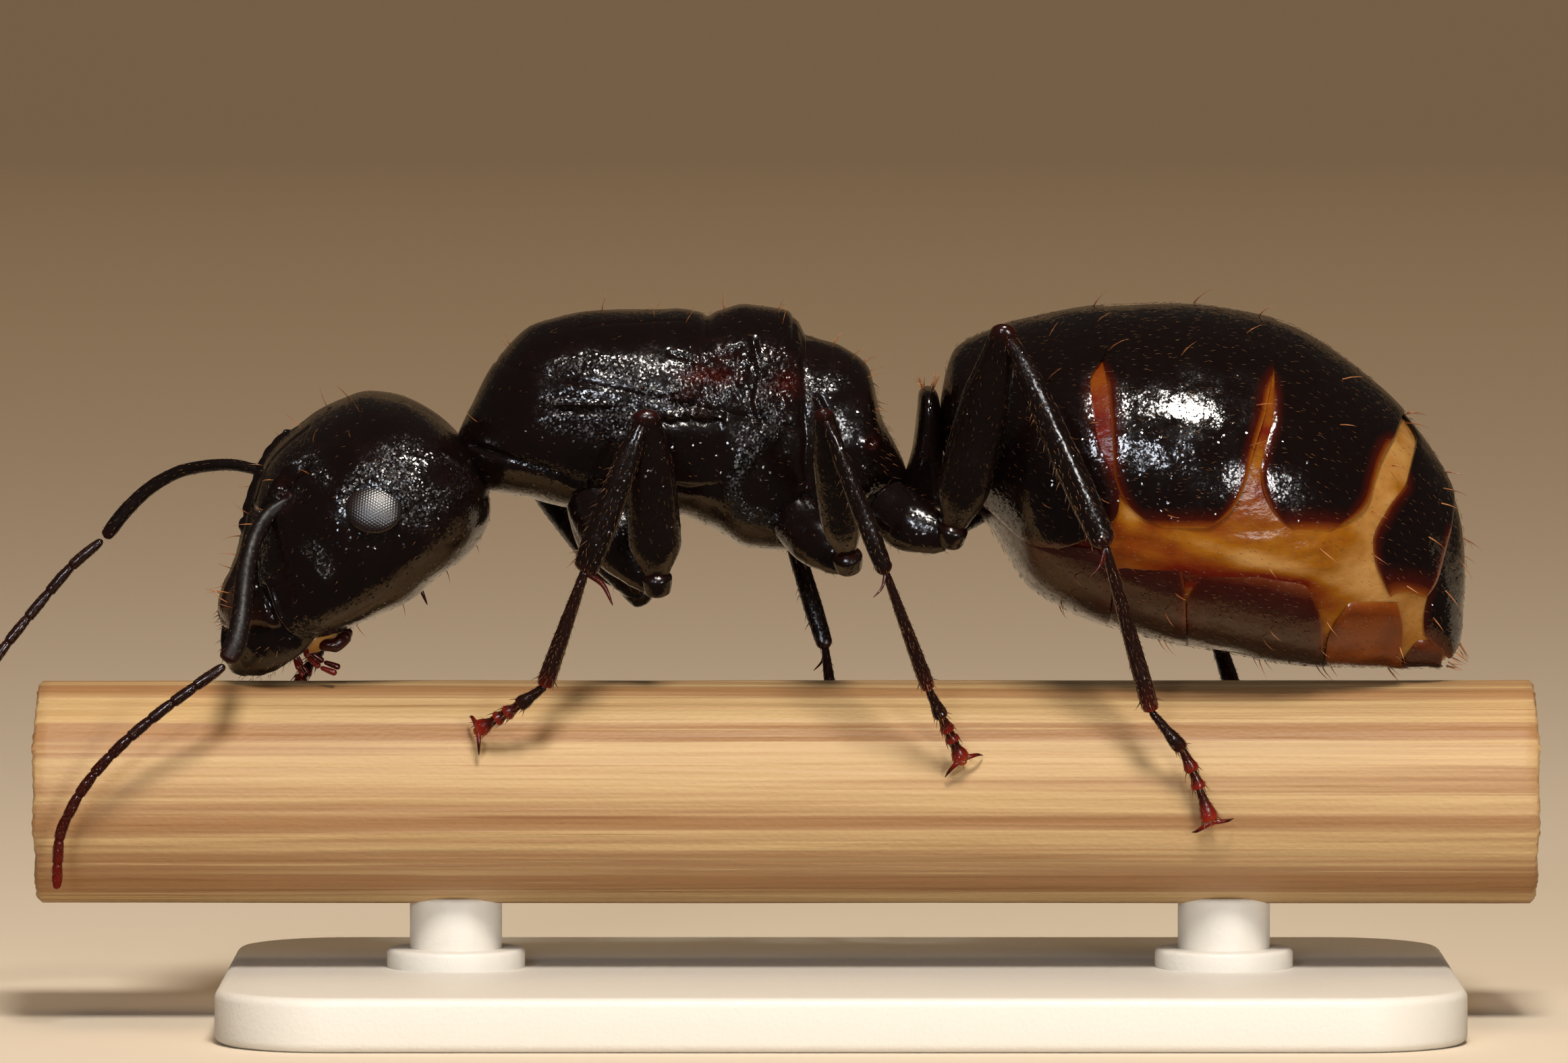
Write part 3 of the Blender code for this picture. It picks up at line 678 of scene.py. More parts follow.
def cuticle(name, stops, roughness, sparkle, lump_depth, **values):
    """Hardened chitin. The tint attribute runs through the colour stops. Cells 0.024 mm across, a little
    wider than real ones so that they show, break its gloss into sparks. They tilt most where the grain
    attribute is high. Lumps and dull patches waver the gloss."""
    material, tree, shader = new_material(name)
    place = add_node(tree, "ShaderNodeTexCoord").outputs["Object"]
    tint = add_node(tree, "ShaderNodeAttribute", attribute_name="tint").outputs["Fac"]
    grain = add_node(tree, "ShaderNodeAttribute", attribute_name="grain").outputs["Fac"]
    mottle = add_node(tree, "ShaderNodeTexNoise", {"Vector": place, "Scale": per_mm(0.4), "Detail": 4.0})
    centred = add_node(tree, "ShaderNodeMath", {0: mottle, 1: 0.5}, operation="SUBTRACT")
    mottled = {0: centred, 1: 0.12, 2: tint}
    thin = add_node(tree, "ShaderNodeMath", mottled, operation="MULTIPLY_ADD", use_clamp=True)
    colour = add_node(tree, "ShaderNodeValToRGB", {"Fac": thin}, stops)

    # How far each cell tilts: all of them in rough patches, and a lone one here and there
    spread = {"From Min": 0.42, "From Max": 0.62, "To Min": 0.05, "To Max": 0.18}
    patchy = add_node(tree, "ShaderNodeMapRange", {"Value": mottle, **spread})
    rough = add_node(tree, "ShaderNodeMath", {0: grain, 1: 0.9, 2: patchy}, operation="MULTIPLY_ADD")
    cells = add_node(tree, "ShaderNodeTexVoronoi", {"Vector": place, "Scale": per_mm(0.024)})
    chance = add_node(tree, "ShaderNodeSeparateColor", {"Color": cells.outputs["Color"]}).outputs["Blue"]
    lone = add_node(tree, "ShaderNodeMapRange", {"Value": chance, "From Min": 0.92, "To Max": 0.8})
    tilt = add_node(tree, "ShaderNodeMath", {0: rough, 1: lone}, operation="MAXIMUM")
    steep = add_node(tree, "ShaderNodeMath", {0: tilt, 1: sparkle}, operation="MULTIPLY")

    lumpy = add_node(tree, "ShaderNodeTexNoise", {"Vector": place, "Scale": per_mm(0.22), "Detail": 3.0})
    broad = add_node(tree, "ShaderNodeBump", {"Height": lumpy, "Distance": lump_depth * MM, "Strength": 1.0})
    off_middle = {0: cells.outputs["Color"], 1: (0.5, 0.5, 0.5)}
    lean = add_node(tree, "ShaderNodeVectorMath", off_middle, operation="SUBTRACT")
    leant = add_node(tree, "ShaderNodeVectorMath", {0: lean, "Scale": steep}, operation="SCALE")
    tipped = add_node(tree, "ShaderNodeVectorMath", {0: broad, 1: leant}, operation="ADD")
    normal = add_node(tree, "ShaderNodeVectorMath", {0: tipped}, operation="NORMALIZE")

    waver = {"From Min": 0.35, "From Max": 0.72, "To Min": roughness - 0.04, "To Max": roughness + 0.10}
    gloss = add_node(tree, "ShaderNodeMapRange", {"Value": mottle, **waver})
    dulled = add_node(tree, "ShaderNodeMath", {0: grain, 1: 0.13, 2: gloss}, operation="MULTIPLY_ADD")
    set_inputs(tree, shader, {
        "Base Color": colour, "Roughness": dulled, "Normal": normal, "IOR": 1.50, **values,
    })
    return material


def black_cuticle(colours):
    """Thick polished chitin with leather-like microsculpture: black, with sparks in its highlights."""
    stops = ((0.0, colours.black), (0.45, colours.dark_red), (1.0, colours.red))
    return cuticle("black_cuticle", stops, roughness=0.15, sparkle=0.95, lump_depth=0.007)


def gaster_plate(colours):
    """Thin smooth chitin plates: black where thick, glowing red to amber along their thin rims."""
    stops = (
        (0.0, colours.black), (0.15, colours.black), (0.46, colours.dark_red), (0.76, colours.orange),
        (1.0, colours.amber),
    )
    return cuticle("gaster_plate", stops, roughness=0.12, sparkle=0.9, lump_depth=0.015)


def belly_plate(colours):
    """Thin brown chitin under the gaster: a translucent brown that shows the pale body inside."""
    stops = ((0.0, colours.belly), (0.34, colours.dark_red), (0.70, colours.orange), (1.0, colours.amber))
    return cuticle("belly_plate", stops, roughness=0.20, sparkle=0.6, lump_depth=0.006)


def leg_stops(colours):
    """The legs' and scapes' colours: nearly black, and red where they thin at the joints."""
    return (0.0, colours.leg), (0.5, colours.dark_red), (1.0, colours.red)


def leg_cuticle(colours):
    """Dark brown chitin of the legs, polished between its hairs."""
    return cuticle("leg_cuticle", leg_stops(colours), roughness=0.19, sparkle=1.2, lump_depth=0.004)


def scape_cuticle(colours):
    """Dark brown chitin of the scapes, duller than the legs under its fine down."""
    dull = {"Specular IOR Level": 0.22}
    stops = leg_stops(colours)
    return cuticle("scape_cuticle", stops, roughness=0.42, sparkle=0.6, lump_depth=0.004, **dull)


def tarsus_cuticle(colours):
    """Thin chitin of the feet: dark brown above, a clear wine red at the joints and claws."""
    stops = ((0.0, colours.tarsus), (0.4, colours.dark_red), (0.75, colours.foot_red), (1.0, colours.claw))
    return cuticle("tarsus_cuticle", stops, roughness=0.20, sparkle=1.0, lump_depth=0.003)


def soft_skin(colours):
    """The stretched skin between the gaster's plates: wet, amber with a cream band where it is fullest,
    partly paler skin and partly painted highlight, and red-brown where it slips under a plate. The tint
    attribute says which, and folds mottle it."""
    stops = (
        (0.0, colours.dark_red), (0.22, colours.red), (0.38, colours.orange), (0.60, colours.amber),
        (0.95, colours.cream),
    )
    material, tree, shader = new_material("soft_skin")
    place = add_node(tree, "ShaderNodeTexCoord").outputs["Object"]
    tint = add_node(tree, "ShaderNodeAttribute", attribute_name="tint").outputs["Fac"]
    stretched = add_node(tree, "ShaderNodeMapping", {"Vector": place, "Scale": (0.5, 1.0, 1.0)})
    patches, folds = (
        add_node(tree, "ShaderNodeTexNoise", {"Vector": stretched, "Scale": per_mm(size), "Detail": detail})
        for size, detail in ((0.45, 5.0), (0.09, 3.0))
    )
    centred = add_node(tree, "ShaderNodeMath", {0: patches, 1: 0.5}, operation="SUBTRACT")
    mottled = {0: centred, 1: 0.90, 2: tint}
    full = add_node(tree, "ShaderNodeMath", mottled, operation="MULTIPLY_ADD", use_clamp=True)
    wet_folds = {"Height": folds, "Distance": 0.012 * MM, "Strength": 1.0}
    set_inputs(tree, shader, {
        "Base Color": add_node(tree, "ShaderNodeValToRGB", {"Fac": full}, stops),
        "Roughness": 0.22,
        "IOR": 1.31,
        "Subsurface Weight": 0.12,
        "Subsurface Radius": (1.0, 0.45, 0.18),
        "Subsurface Scale": 0.20 * MM,
        "Normal": add_node(tree, "ShaderNodeBump", wet_folds),
    })
    return material


def eye_lens(colours):
    """The compound eye's clear lenses over dark pigment: a dark brown whose many small domes spread the light
    into an even grey sheen."""
    material, tree, shader = new_material("eye_lens")
    place = add_node(tree, "ShaderNodeTexCoord").outputs["Object"]
    depth = add_node(tree, "ShaderNodeTexNoise", {"Vector": place, "Scale": per_mm(0.5), "Detail": 2.0})
    stops = ((0.3, colours.black), (0.75, colours.eye))
    set_inputs(tree, shader, {
        "Base Color": add_node(tree, "ShaderNodeValToRGB", {"Fac": depth}, stops),
        "Roughness": 0.34,
        "IOR": 1.56,
        "Specular IOR Level": 0.9,
    })
    return material


def bristle(name, base, tip, roughness):
    """Hollow chitin bristle: clear brown that lights up gold against the black. Its colour comes as a lit and
    a shaded copy, painted light, mixed at random over the bristles.
    """
    material, tree, shader = new_material(name)
    place = add_node(tree, "ShaderNodeTexCoord").outputs["Object"]
    # Painted light: this noise mixes the shaded copy (base) with the lit copy (tip) of one colour.
    shade = add_node(tree, "ShaderNodeTexNoise", {"Vector": place, "Scale": per_mm(0.3), "Detail": 1.0})
    set_inputs(tree, shader, {
        "Base Color": add_node(tree, "ShaderNodeValToRGB", {"Fac": shade}, ((0.3, base), (0.7, tip))),
        "Roughness": roughness,
        "IOR": 1.55,
    })
    return material


def long_bristle(colours):
    """The long bristles of the body: pale orange where painted as lit."""
    return bristle("long_bristle", colours.bristle_shaded, colours.bristle, 0.30)


def fine_hair(colours):
    """The short hairs that lie on the cuticle: dark brown, with painted gold glints."""
    return bristle("fine_hair", colours.hair_shaded, colours.hair, 0.25)


def bamboo(colours):
    """Split bamboo rounded to a stick: straw-coloured soft tissue between paler and darker fibres, the finest
    of them drawn four times as thick as they are so that they show."""
    white, black = (1.0, 1.0, 1.0), (0.0, 0.0, 0.0)
    band_stops = (
        (0.38, colours.bamboo_dark),
        (0.46, colours.bamboo),
        (0.53, colours.bamboo_pale),
        (0.66, colours.bamboo),
    )
    material, tree, shader = new_material("bamboo")
    place = add_node(tree, "ShaderNodeTexCoord").outputs["Object"]
    # The same place drawn out along the stick: bands and lines run its whole length, pores are short.
    long, short, stubby = (
        add_node(tree, "ShaderNodeMapping", {"Vector": place, "Scale": (along, 1.0, 1.0)})
        for along in (0.008, 0.012, 0.5)
    )
    bands = add_node(tree, "ShaderNodeTexNoise", {"Vector": long, "Scale": per_mm(0.36), "Detail": 3.5})
    lines = add_node(tree, "ShaderNodeTexNoise", {"Vector": long, "Scale": per_mm(0.08), "Detail": 3.0})
    fibres = add_node(tree, "ShaderNodeTexNoise", {"Vector": short, "Scale": per_mm(0.045), "Detail": 3.0})
    pores = add_node(tree, "ShaderNodeTexVoronoi", {"Vector": stubby, "Scale": per_mm(0.05)})
    colour = add_node(tree, "ShaderNodeValToRGB", {"Fac": bands}, band_stops).outputs["Color"]
    for share, way, source, stops in (
        (0.8, "MULTIPLY", lines, ((0.27, (0.62, 0.46, 0.34)), (0.34, white))),
        (0.7, "LIGHTEN", lines, ((0.62, black), (0.68, colours.bamboo_pale))),
        (0.6, "MULTIPLY", fibres, ((0.30, (0.82, 0.74, 0.64)), (0.50, white))),
    ):
        layer = add_node(tree, "ShaderNodeValToRGB", {"Fac": source}, stops)
        # A colour Mix node's colours are its inputs 6 and 7 and its output 2.
        mixed = {0: share, 6: colour, 7: layer}
        colour = add_node(tree, "ShaderNodeMix", mixed, data_type="RGBA", blend_type=way).outputs[2]
    grooves = add_node(tree, "ShaderNodeBump", {"Height": fibres, "Distance": 0.007 * MM, "Strength": 1.0})
    pitted = add_node(tree, "ShaderNodeBump", {
        "Height": pores, "Distance": 0.004 * MM, "Strength": 1.0, "Normal": grooves,
    })
    set_inputs(tree, shader, {
        "Base Color": colour,
        "Roughness": 0.52,
        "IOR": 1.5,
        "Specular IOR Level": 0.36,
        "Normal": pitted,
    })
    return material


def stand_plastic(colours):
    """Moulded ABS with a fine spark-eroded texture: an even, satin off-white."""
    material, tree, shader = new_material("stand_plastic")
    place = add_node(tree, "ShaderNodeTexCoord").outputs["Object"]
    grit = add_node(tree, "ShaderNodeTexNoise", {"Vector": place, "Scale": per_mm(0.06), "Detail": 3.0})
    satin = {"From Min": 0.3, "From Max": 0.7, "To Min": 0.40, "To Max": 0.54}
    set_inputs(tree, shader, {
        "Base Color": (*colours.stand, 1.0),
        "Roughness": add_node(tree, "ShaderNodeMapRange", {"Value": grit, **satin}),
        "IOR": 1.52,
        "Normal": add_node(tree, "ShaderNodeBump", {"Height": grit, "Distance": 0.006 * MM, "Strength": 1.0}),
    })
    return material


def studio_paper(colours):
    """A roll of matt background paper."""
    material, tree, shader = new_material("studio_paper")
    set_inputs(tree, shader, {"Base Color": (*colours.paper, 1.0), "Roughness": 0.9})
    return material


FINISHES = {
    maker.__name__: maker
    for maker in (
        black_cuticle, gaster_plate, belly_plate, leg_cuticle, scape_cuticle, tarsus_cuticle, soft_skin,
        eye_lens, long_bristle, fine_hair, bamboo, stand_plastic, studio_paper,
    )
}
# The materials made so far, by the name of their finish.
MATERIALS = {}


def finish_named(name):
    """The material of this finish, made the first time that it is asked for."""
    if name not in MATERIALS:
        MATERIALS[name] = FINISHES[name](bpy.context.scene.ant_colours)
    return MATERIALS[name]


# ---------------------------------------------------------------- properties


class AntColours(bpy.types.PropertyGroup):
    """Colours of the ant, its perch, its stand and the paper."""

    black: colour_property("Black", "Thick cuticle of head, trunk and gaster", "#0d0605")
    dark_red: colour_property("Dark red", "Cuticle where it begins to thin", "#350a04")
    red: colour_property("Red", "Thin cuticle at joints and wing scars", "#5c1405")
    orange: colour_property("Orange", "Thinnest rims of the gaster's plates", "#6e3309")
    amber: colour_property("Amber", "Skin between the gaster's plates", "#85520f")
    # Cream is partly painted highlight: it tops the pale band along the belt's bulge.
    cream: colour_property("Cream", "Stretched skin along the flanks", "#a97f48")
    belly: colour_property("Belly", "Plates under the gaster", "#24110a")
    leg: colour_property("Leg", "Cuticle of the legs and scapes", "#0f0705")
    tarsus: colour_property("Foot", "Cuticle of the feet and funiculi", "#1c0b07")
    foot_red: colour_property("Foot red", "Clear cuticle of the last foot joints", "#74160a")
    claw: colour_property("Claw", "Thinnest cuticle, at the claws and feeler tips", "#a03a12")
    eye: colour_property("Eye", "Pigment under the lenses", "#1c0a07")
    # Painted light: each bristle colour and hair colour below comes as a lit and a shaded copy.
    bristle: colour_property("Bristle", "Long bristles in the light", "#b87a48")
    bristle_shaded: colour_property("Bristle root", "Long bristles in shade", "#74391a")
    hair: colour_property("Hair", "Fine hairs in the light", "#7a5330")
    hair_shaded: colour_property("Hair root", "Fine hairs in shade", "#2b180c")
    bamboo: colour_property("Bamboo", "Soft tissue between the fibres", "#a07b54")
    bamboo_pale: colour_property("Bamboo pale", "Pale fibre bands", "#b8996b")
    bamboo_dark: colour_property("Bamboo dark", "Dark fibre bands", "#987048")
    stand: colour_property("Stand", "Base and rods", "#d9d4ca")
    paper: colour_property("Paper", "Floor and backdrop", "#ddcfba")


class AntStage(bpy.types.PropertyGroup):
    """Camera and lights."""

    distance: FloatProperty(
        name="Distance", description="From the camera to the aim", default=0.150, min=0.05, unit="LENGTH"
    )
    elevation: FloatProperty(
        name="Elevation", description="Camera above level", default=math.radians(3.0), unit="ROTATION"
    )
    view_width: FloatProperty(
        name="View width", description="Width seen at the aim", default=20.386 * MM, unit="LENGTH"
    )
    key_power: power_property("Key light", 0.13)
    fill_power: power_property("Fill light", 0.19)
    low_power: power_property("Low light", 0.065)
    backdrop_power: power_property("Backdrop light", 2.0)
    room_light: FloatProperty(
        name="Room light", description="Strength of the even light all round", default=0.05
    )


class AntCoat(bpy.types.PropertyGroup):
    """Bristles."""

    seed: IntProperty(name="Seed", description="Fixes the random places of the bristles", default=7)
    lying_length: FloatProperty(
        name="Lying length", description="Short bristles that lie along the legs", default=0.10, min=0.01
    )
    erect_length: FloatProperty(
        name="Erect length", description="Long bristles that stand out", default=0.36, min=0.01
    )


# ---------------------------------------------------------------- the head

# Each eye faces this far up and this far back from straight sideways, as the flank does there.
EYE_TILT = math.radians(29.0)
EYE_SWEEP = math.radians(13.0)
# Each mandible's joints in the head's axes, and its radius at shares of its length
MANDIBLE_JOINTS = (
    (1.08, 0.84, -0.26), (1.46, 0.84, -0.24), (1.86, 0.70, -0.20), (2.20, 0.42, -0.22), (2.44, 0.10, -0.26),
)
MANDIBLE_RADII = ((0.0, 0.0), (0.08, 0.26), (0.35, 0.35), (0.65, 0.31), (0.90, 0.17), (1.0, 0.0))
TEETH = 5
TOOTH_ROOTS = (Vector((2.08, 0.34, -0.46)), Vector((2.32, 0.12, -0.18)))  # of the first and the last
TOOTH_RUN = Vector((0.13, -0.11, -0.06))
TOOTH_RADII = ((0.0, 0.0), (0.1, 0.075), (0.6, 0.055), (1.0, 0.0))
# Palps as joints in millimetres, then the radius at the root
PALPS = (
    (((-6.98, 0.42, 4.98), (-6.90, 0.50, 4.76), (-6.74, 0.56, 4.64), (-6.52, 0.60, 4.56)), 0.042),
    (((-7.10, 0.34, 4.94), (-7.08, 0.40, 4.74), (-7.02, 0.44, 4.60), (-6.96, 0.46, 4.52)), 0.034),
)
MOUTH_LOBES = (  # soft and hard lobes behind the mandibles: joints, radius, finish, tint
    (((-7.25, 0.22, 4.98), (-6.90, 0.25, 4.98), (-6.55, 0.20, 5.12)), 0.17, "soft_skin", 0.75),
    (((-6.80, 0.30, 4.95), (-6.58, 0.34, 4.92), (-6.36, 0.26, 5.06)), 0.09, "tarsus_cuticle", 0.25),
)
PALP_PROFILE = ((0.0, 0.0), (0.1, 0.7), (0.85, 1.0), (1.0, 0.0))
NECK_JOINTS = ((-5.62, 0.0, 7.02), (-5.0, 0.0, 7.12), (-4.25, 0.0, 7.26))
BLUNT = ((0.0, 0.0), (0.12, 0.85), (0.5, 1.0), (0.88, 0.85), (1.0, 0.0))


def scaled(profile, scale):
    """A profile with its radii made this many times as large."""
    return [(share, radius * scale) for share, radius in profile]


def even_tint(value):
    """The same redness all over."""
    return lambda u, _points: np.full(len(u), value)


def head_tint(_u, points):
    """The mouth's edge is thin and reddish, as are the rims of the antennal sockets."""
    _, facing = flat_view(points, "forehead")
    x, y = ANTENNA_SOCKET
    socket = np.hypot(points[:, 0] - x, np.abs(points[:, 1]) - y)
    return 0.25 * bell(points[:, 0] - 2.0, 0.35) + 0.08 * bell(socket - 0.17, 0.06) * facing


class ANT_OT_head(bpy.types.Operator):
    """Models the head capsule: forehead ridges, clypeus, cheeks and the sockets of eyes and antennae"""

    bl_idname = "ant.head"
    bl_label = "Head"

    def execute(self, context):
        capsule = wrap(HEAD, 200, 230, head_relief, head_tint, head_grain)
        add_piece("head_capsule", capsule, "black_cuticle", "head")
        neck = wrap(LimbSkin(NECK_JOINTS, scaled(BLUNT, 0.33)), 60, 60, lumps(0.02, 0.05))
        add_piece("neck_membrane", neck, "black_cuticle", "neck")
        return {"FINISHED"}


def lens_domes(across, along):
    """Height, 0 to 1, of a honeycomb of domes over a flat place."""
    row = FACET * math.sqrt(3)
    nearest = np.full(len(across), 9.0)
    for shift in (0.0, 0.5):
        x = (across / FACET - shift + 0.5) % 1 - 0.5
        y = ((along / row - shift + 0.5) % 1 - 0.5) * math.sqrt(3)
        nearest = np.minimum(nearest, x**2 + y**2)
    return 1 - nearest * 3


def compound_eye(side):
    """A flattened ball of domed lenses, turned and set in its socket."""
    sign = 1.0 if side == "left" else -1.0
    bm = bmesh.new()
    bmesh.ops.create_icosphere(bm, subdivisions=7, radius=1.0)
    ball = np.array([vert.co for vert in bm.verts])
    lift = lens_domes(ball[:, 0] * EYE_RADII[0], ball[:, 2] * EYE_RADII[2]) * DOME_HEIGHT
    for vert, point in zip(bm.verts, ball * EYE_RADII + unit(ball / EYE_RADII) * lift[:, None]):
        vert.co = point
    tilt = Matrix.Rotation(sign * EYE_TILT, 4, "X")
    turn = Matrix.Rotation(sign * EYE_SWEEP, 4, "Z") @ Matrix.Rotation(sign * EYE_TURN, 4, "Y")
    spot = Matrix.Translation((EYE_PLACE[0], sign * EYE_PLACE[1], EYE_PLACE[2]))
    bm.transform(HEAD.place @ spot @ tilt @ turn)
    return bm


def ocellus(along, off_midline):
    """A simple eye: a ball sunk into the crown of the head."""
    u, _ = HEAD.locate(along, 0.0)
    width = np.linalg.norm(HEAD.frames(np.array([u]))[2])
    angle = math.copysign(math.asin((abs(off_midline) / width) ** (HEAD.squareness / 2)), off_midline)
    point, normal, _ = (row[0] for row in HEAD.world(np.array([u]), np.array([angle])))
    bm = bmesh.new()
    bmesh.ops.create_icosphere(bm, subdivisions=4, radius=OCELLUS_RADIUS)
    bm.transform(Matrix.Translation(Vector(point - normal * OCELLUS_RADIUS * 0.7)))
    return bm


class ANT_OT_eyes(bpy.types.Operator):
    """Models the compound eyes, lens by lens, and the three simple eyes on the crown"""

    bl_idname = "ant.eyes"
    bl_label = "Eyes"

    def execute(self, context):
        for side in SIDES:
            add_piece(f"compound_eye_{side}", compound_eye(side), "eye_lens", f"eye_{side}")
        add_piece("ocelli", joined([ocellus(*place) for place in OCELLI]), "eye_lens")
        return {"FINISHED"}


def mandible(side):
    """A bowed blade with a row of teeth along its tip."""
    sign = 1.0 if side == "left" else -1.0
    mirror = Vector((1.0, sign, 1.0))
    joints = signed(MANDIBLE_JOINTS, side, left=1.0)
    blade = LimbSkin(joints, MANDIBLE_RADII, flatness=0.62, broad=(0.3, -sign, 0.0))
    parts = [wrap(blade, 90, 60, lumps(0.010, 0.12))]
    for tooth in range(TEETH):
        root = TOOTH_ROOTS[0].lerp(TOOTH_ROOTS[1], tooth / (TEETH - 1)) * mirror
        run = TOOTH_RUN * mirror
        parts.append(wrap(LimbSkin([root - run * 0.5, root, root + run], TOOTH_RADII), 16, 14))
    bm = joined(parts)
    bm.transform(HEAD.place)
    return bm


class ANT_OT_mouthparts(bpy.types.Operator):
    """Models the toothed mandibles, and the palps and lobes that show behind them"""

    bl_idname = "ant.mouthparts"
    bl_label = "Mouthparts"

    def execute(self, context):
        palps, lobes = [], {"soft_skin": [], "tarsus_cuticle": []}
        for side in SIDES:
            add_piece(f"mandible_blade_{side}", mandible(side), "black_cuticle", f"mandible_{side}")
            for joints, radius in PALPS:
                path = [Vector(joint) for joint in signed(joints, side)]
                for one, two in zip(path, path[1:]):
                    segment = LimbSkin([one, two], scaled(PALP_PROFILE, radius))
                    palps.append(wrap(segment, 16, 14, None, even_tint(0.55)))
            for joints, radius, finish, tint in MOUTH_LOBES:
                lobe = LimbSkin(signed(joints, side), scaled(BLUNT, radius))
                lobes[finish].append(wrap(lobe, 40, 30, lumps(0.02, 0.12), even_tint(tint)))
        add_piece("palps", joined(palps), "tarsus_cuticle")
        add_piece("mouth_skin", joined(lobes["soft_skin"]), "soft_skin")
        add_piece("maxillae", joined(lobes["tarsus_cuticle"]), "tarsus_cuticle")
        return {"FINISHED"}


# ---------------------------------------------------------------- trunk, waist and gaster

TRUNK_CUTS = {
    "pronotum": ((SCUTUM_PLANE, -1), (PRONOTUM_PLANE, -1)),
    "scutum": ((SCUTUM_PLANE, 1), (SCUTELLUM_PLANE, -1)),
    "scutellum": ((SCUTUM_PLANE, 1), (SCUTELLUM_PLANE, 1), (PROPODEUM_PLANE, -1)),
    "mesopleura": ((SCUTUM_PLANE, -1), (PRONOTUM_PLANE, 1), (PROPODEUM_PLANE, -1)),
    "propodeum": ((PROPODEUM_PLANE, 1),),
}


# Dark red patches of the trunk, as seen from the side: (strength, centre, radii, spread)
TRUNK_STAINS = (
    (0.50, (-1.72, 8.44), (0.34, 0.10), 0.9),  # stumps of the fore and hind wings
    (0.42, (-0.72, 8.34), (0.18, 0.16), 0.9),
    (0.25, BREATHING_PORE, (1.0, 1.0), 0.08),
)


def trunk_tint(_u, points):
    """Dark red in the wing scars and round the breathing pore."""
    flat, facing = flat_view(points, "side")
    patchy = clamp(0.2 + roughness_of(points, 0.18) * 1.6)
    tint = 0.16 * scar_share(points) * patchy
    for strength, centre, radii, spread in TRUNK_STAINS:
        tint += strength * bell(np.linalg.norm((flat - centre) / radii, axis=1), spread) * facing
    return tint


class ANT_OT_trunk(bpy.types.Operator):
    """Models the trunk's five plates, parted at their sutures, with the stumps of the shed wings"""

    bl_idname = "ant.trunk"
    bl_label = "Trunk"

    def execute(self, context):
        whole = wrap(TRUNK, 300, 240, trunk_relief, trunk_tint, trunk_grain)
        for name, cuts in TRUNK_CUTS.items():
            bm = whole.copy()
            for plane, side in cuts:
                keep_side(bm, plane, side)
            add_piece(f"{name}_plate", bm, "black_cuticle", name)
        whole.free()
        add_piece("petiole_scale", wrap(PETIOLE, 90, 110, lumps(0.008, 0.3)), "black_cuticle", "petiole")
        return {"FINISHED"}


# Gaster plates, front to back. Each edge runs in the side view from the midline to the plate's corner on the
# flank. The share of the flank from which the corners round off, how much, and how strongly the rim glows
# follow, and last how clear the whole plate is, if it is.
GASTER_PLATES = {
    "tergite_1": (None, ((3.42, 9.35), (3.40, 8.80), (3.20, 8.44), (3.27, 7.70), (3.46, 7.22), (3.56, 6.90),
                         (3.50, 6.30)), 0.88, 0.55, 0.40),
    "tergite_2": (((3.30, 9.33), (3.34, 8.80), (3.42, 8.44), (3.48, 7.30), (3.50, 6.54)),
                  ((5.68, 9.15), (5.62, 8.80), (5.45, 8.01), (5.24, 7.29), (5.16, 6.54)), 0.80, 0.90, 0.95),
    "tergite_3": (((5.52, 9.17), (5.60, 8.78), (5.57, 8.01), (5.40, 7.29), (5.46, 6.42)),
                  ((7.36, 7.92), (7.16, 7.67), (6.92, 7.22), (6.70, 6.42)), 0.80, 0.88, 0.95),
    "tergite_4": (((7.30, 8.02), (7.52, 7.62), (7.37, 7.14), (7.06, 6.70), (6.90, 6.40), (6.90, 6.10),
                   (7.08, 5.52)), ((8.02, 6.90), (7.86, 6.20), (7.66, 5.50)), 0.80, 0.45, 0.90),
    "tergite_5": (((7.96, 7.05), (7.78, 6.10), (7.52, 5.10)), None, 0.85, 0.40, 0.60),
}
BELLY_PLATES = (
    (((1.66, 6.76), (2.00, 6.70)), ((3.46, 5.14), (3.50, 6.20)), 0.70, 0.40, 0.20),
    (((3.38, 5.18), (3.56, 6.16)), ((4.52, 4.88), (4.40, 6.06)), 0.76, 0.30, 0.50),
    (((4.42, 4.90), (4.46, 5.98)), ((6.36, 4.56), (6.20, 5.68)), 0.70, 0.45, 0.55),
    (((6.30, 4.60), (6.36, 5.46)), ((7.40, 4.58), (7.36, 5.46)), 0.60, 0.60, 0.90, 0.60),
    (((7.28, 4.60), (7.46, 4.92)), ((7.92, 4.70), (7.90, 4.96)), 0.80, 0.30, 0.60, 0.15),
)
# Where the first and the last plate end that have no edge there, and how far round the first one reaches
GASTER_ENDS, WHOLE_REACH = (0.003, 0.992), 3.0
PLATE_THICKNESS = 0.04
PLATE_SINK = 0.045  # how far a plate's front edge lies under the gaster's outline
PLATE_RISE = 0.035  # how much less its rear edge does, where it laps over the next plate
RIM_WIDTH, RIM_DROP = 0.10, 0.016  # where a plate's rim turns down, and how far
GLOW_WIDTH = 0.12  # of the glow along a plate's front and rear
FLANK_GLOW_WIDTH, BELLY_GLOW_WIDTH = 0.17, 0.40  # of the glow along its side
MARGIN_WIDTH, MARGIN_DROP = 0.16, 0.045  # where the soft skin bulges over the margins of the belly's plates


class PlateEdge:
    """One edge of a gaster plate, through places in the side view from the midline to the corner."""

    def __init__(self, corners, under):
        places = [GASTER.locate(*corner) for corner in corners]
        self.u = np.array([[u] for u, _ in places])
        self.angles = np.array([math.pi - angle if under else angle for _, angle in places])
        self.angles[0] = 0.0
        self.reach = self.angles[-1]

    def place(self, angle):
        knots = np.interp(np.abs(angle), self.angles, np.arange(len(self.angles)))
        return smooth_track(self.u, knots)[:, 0]


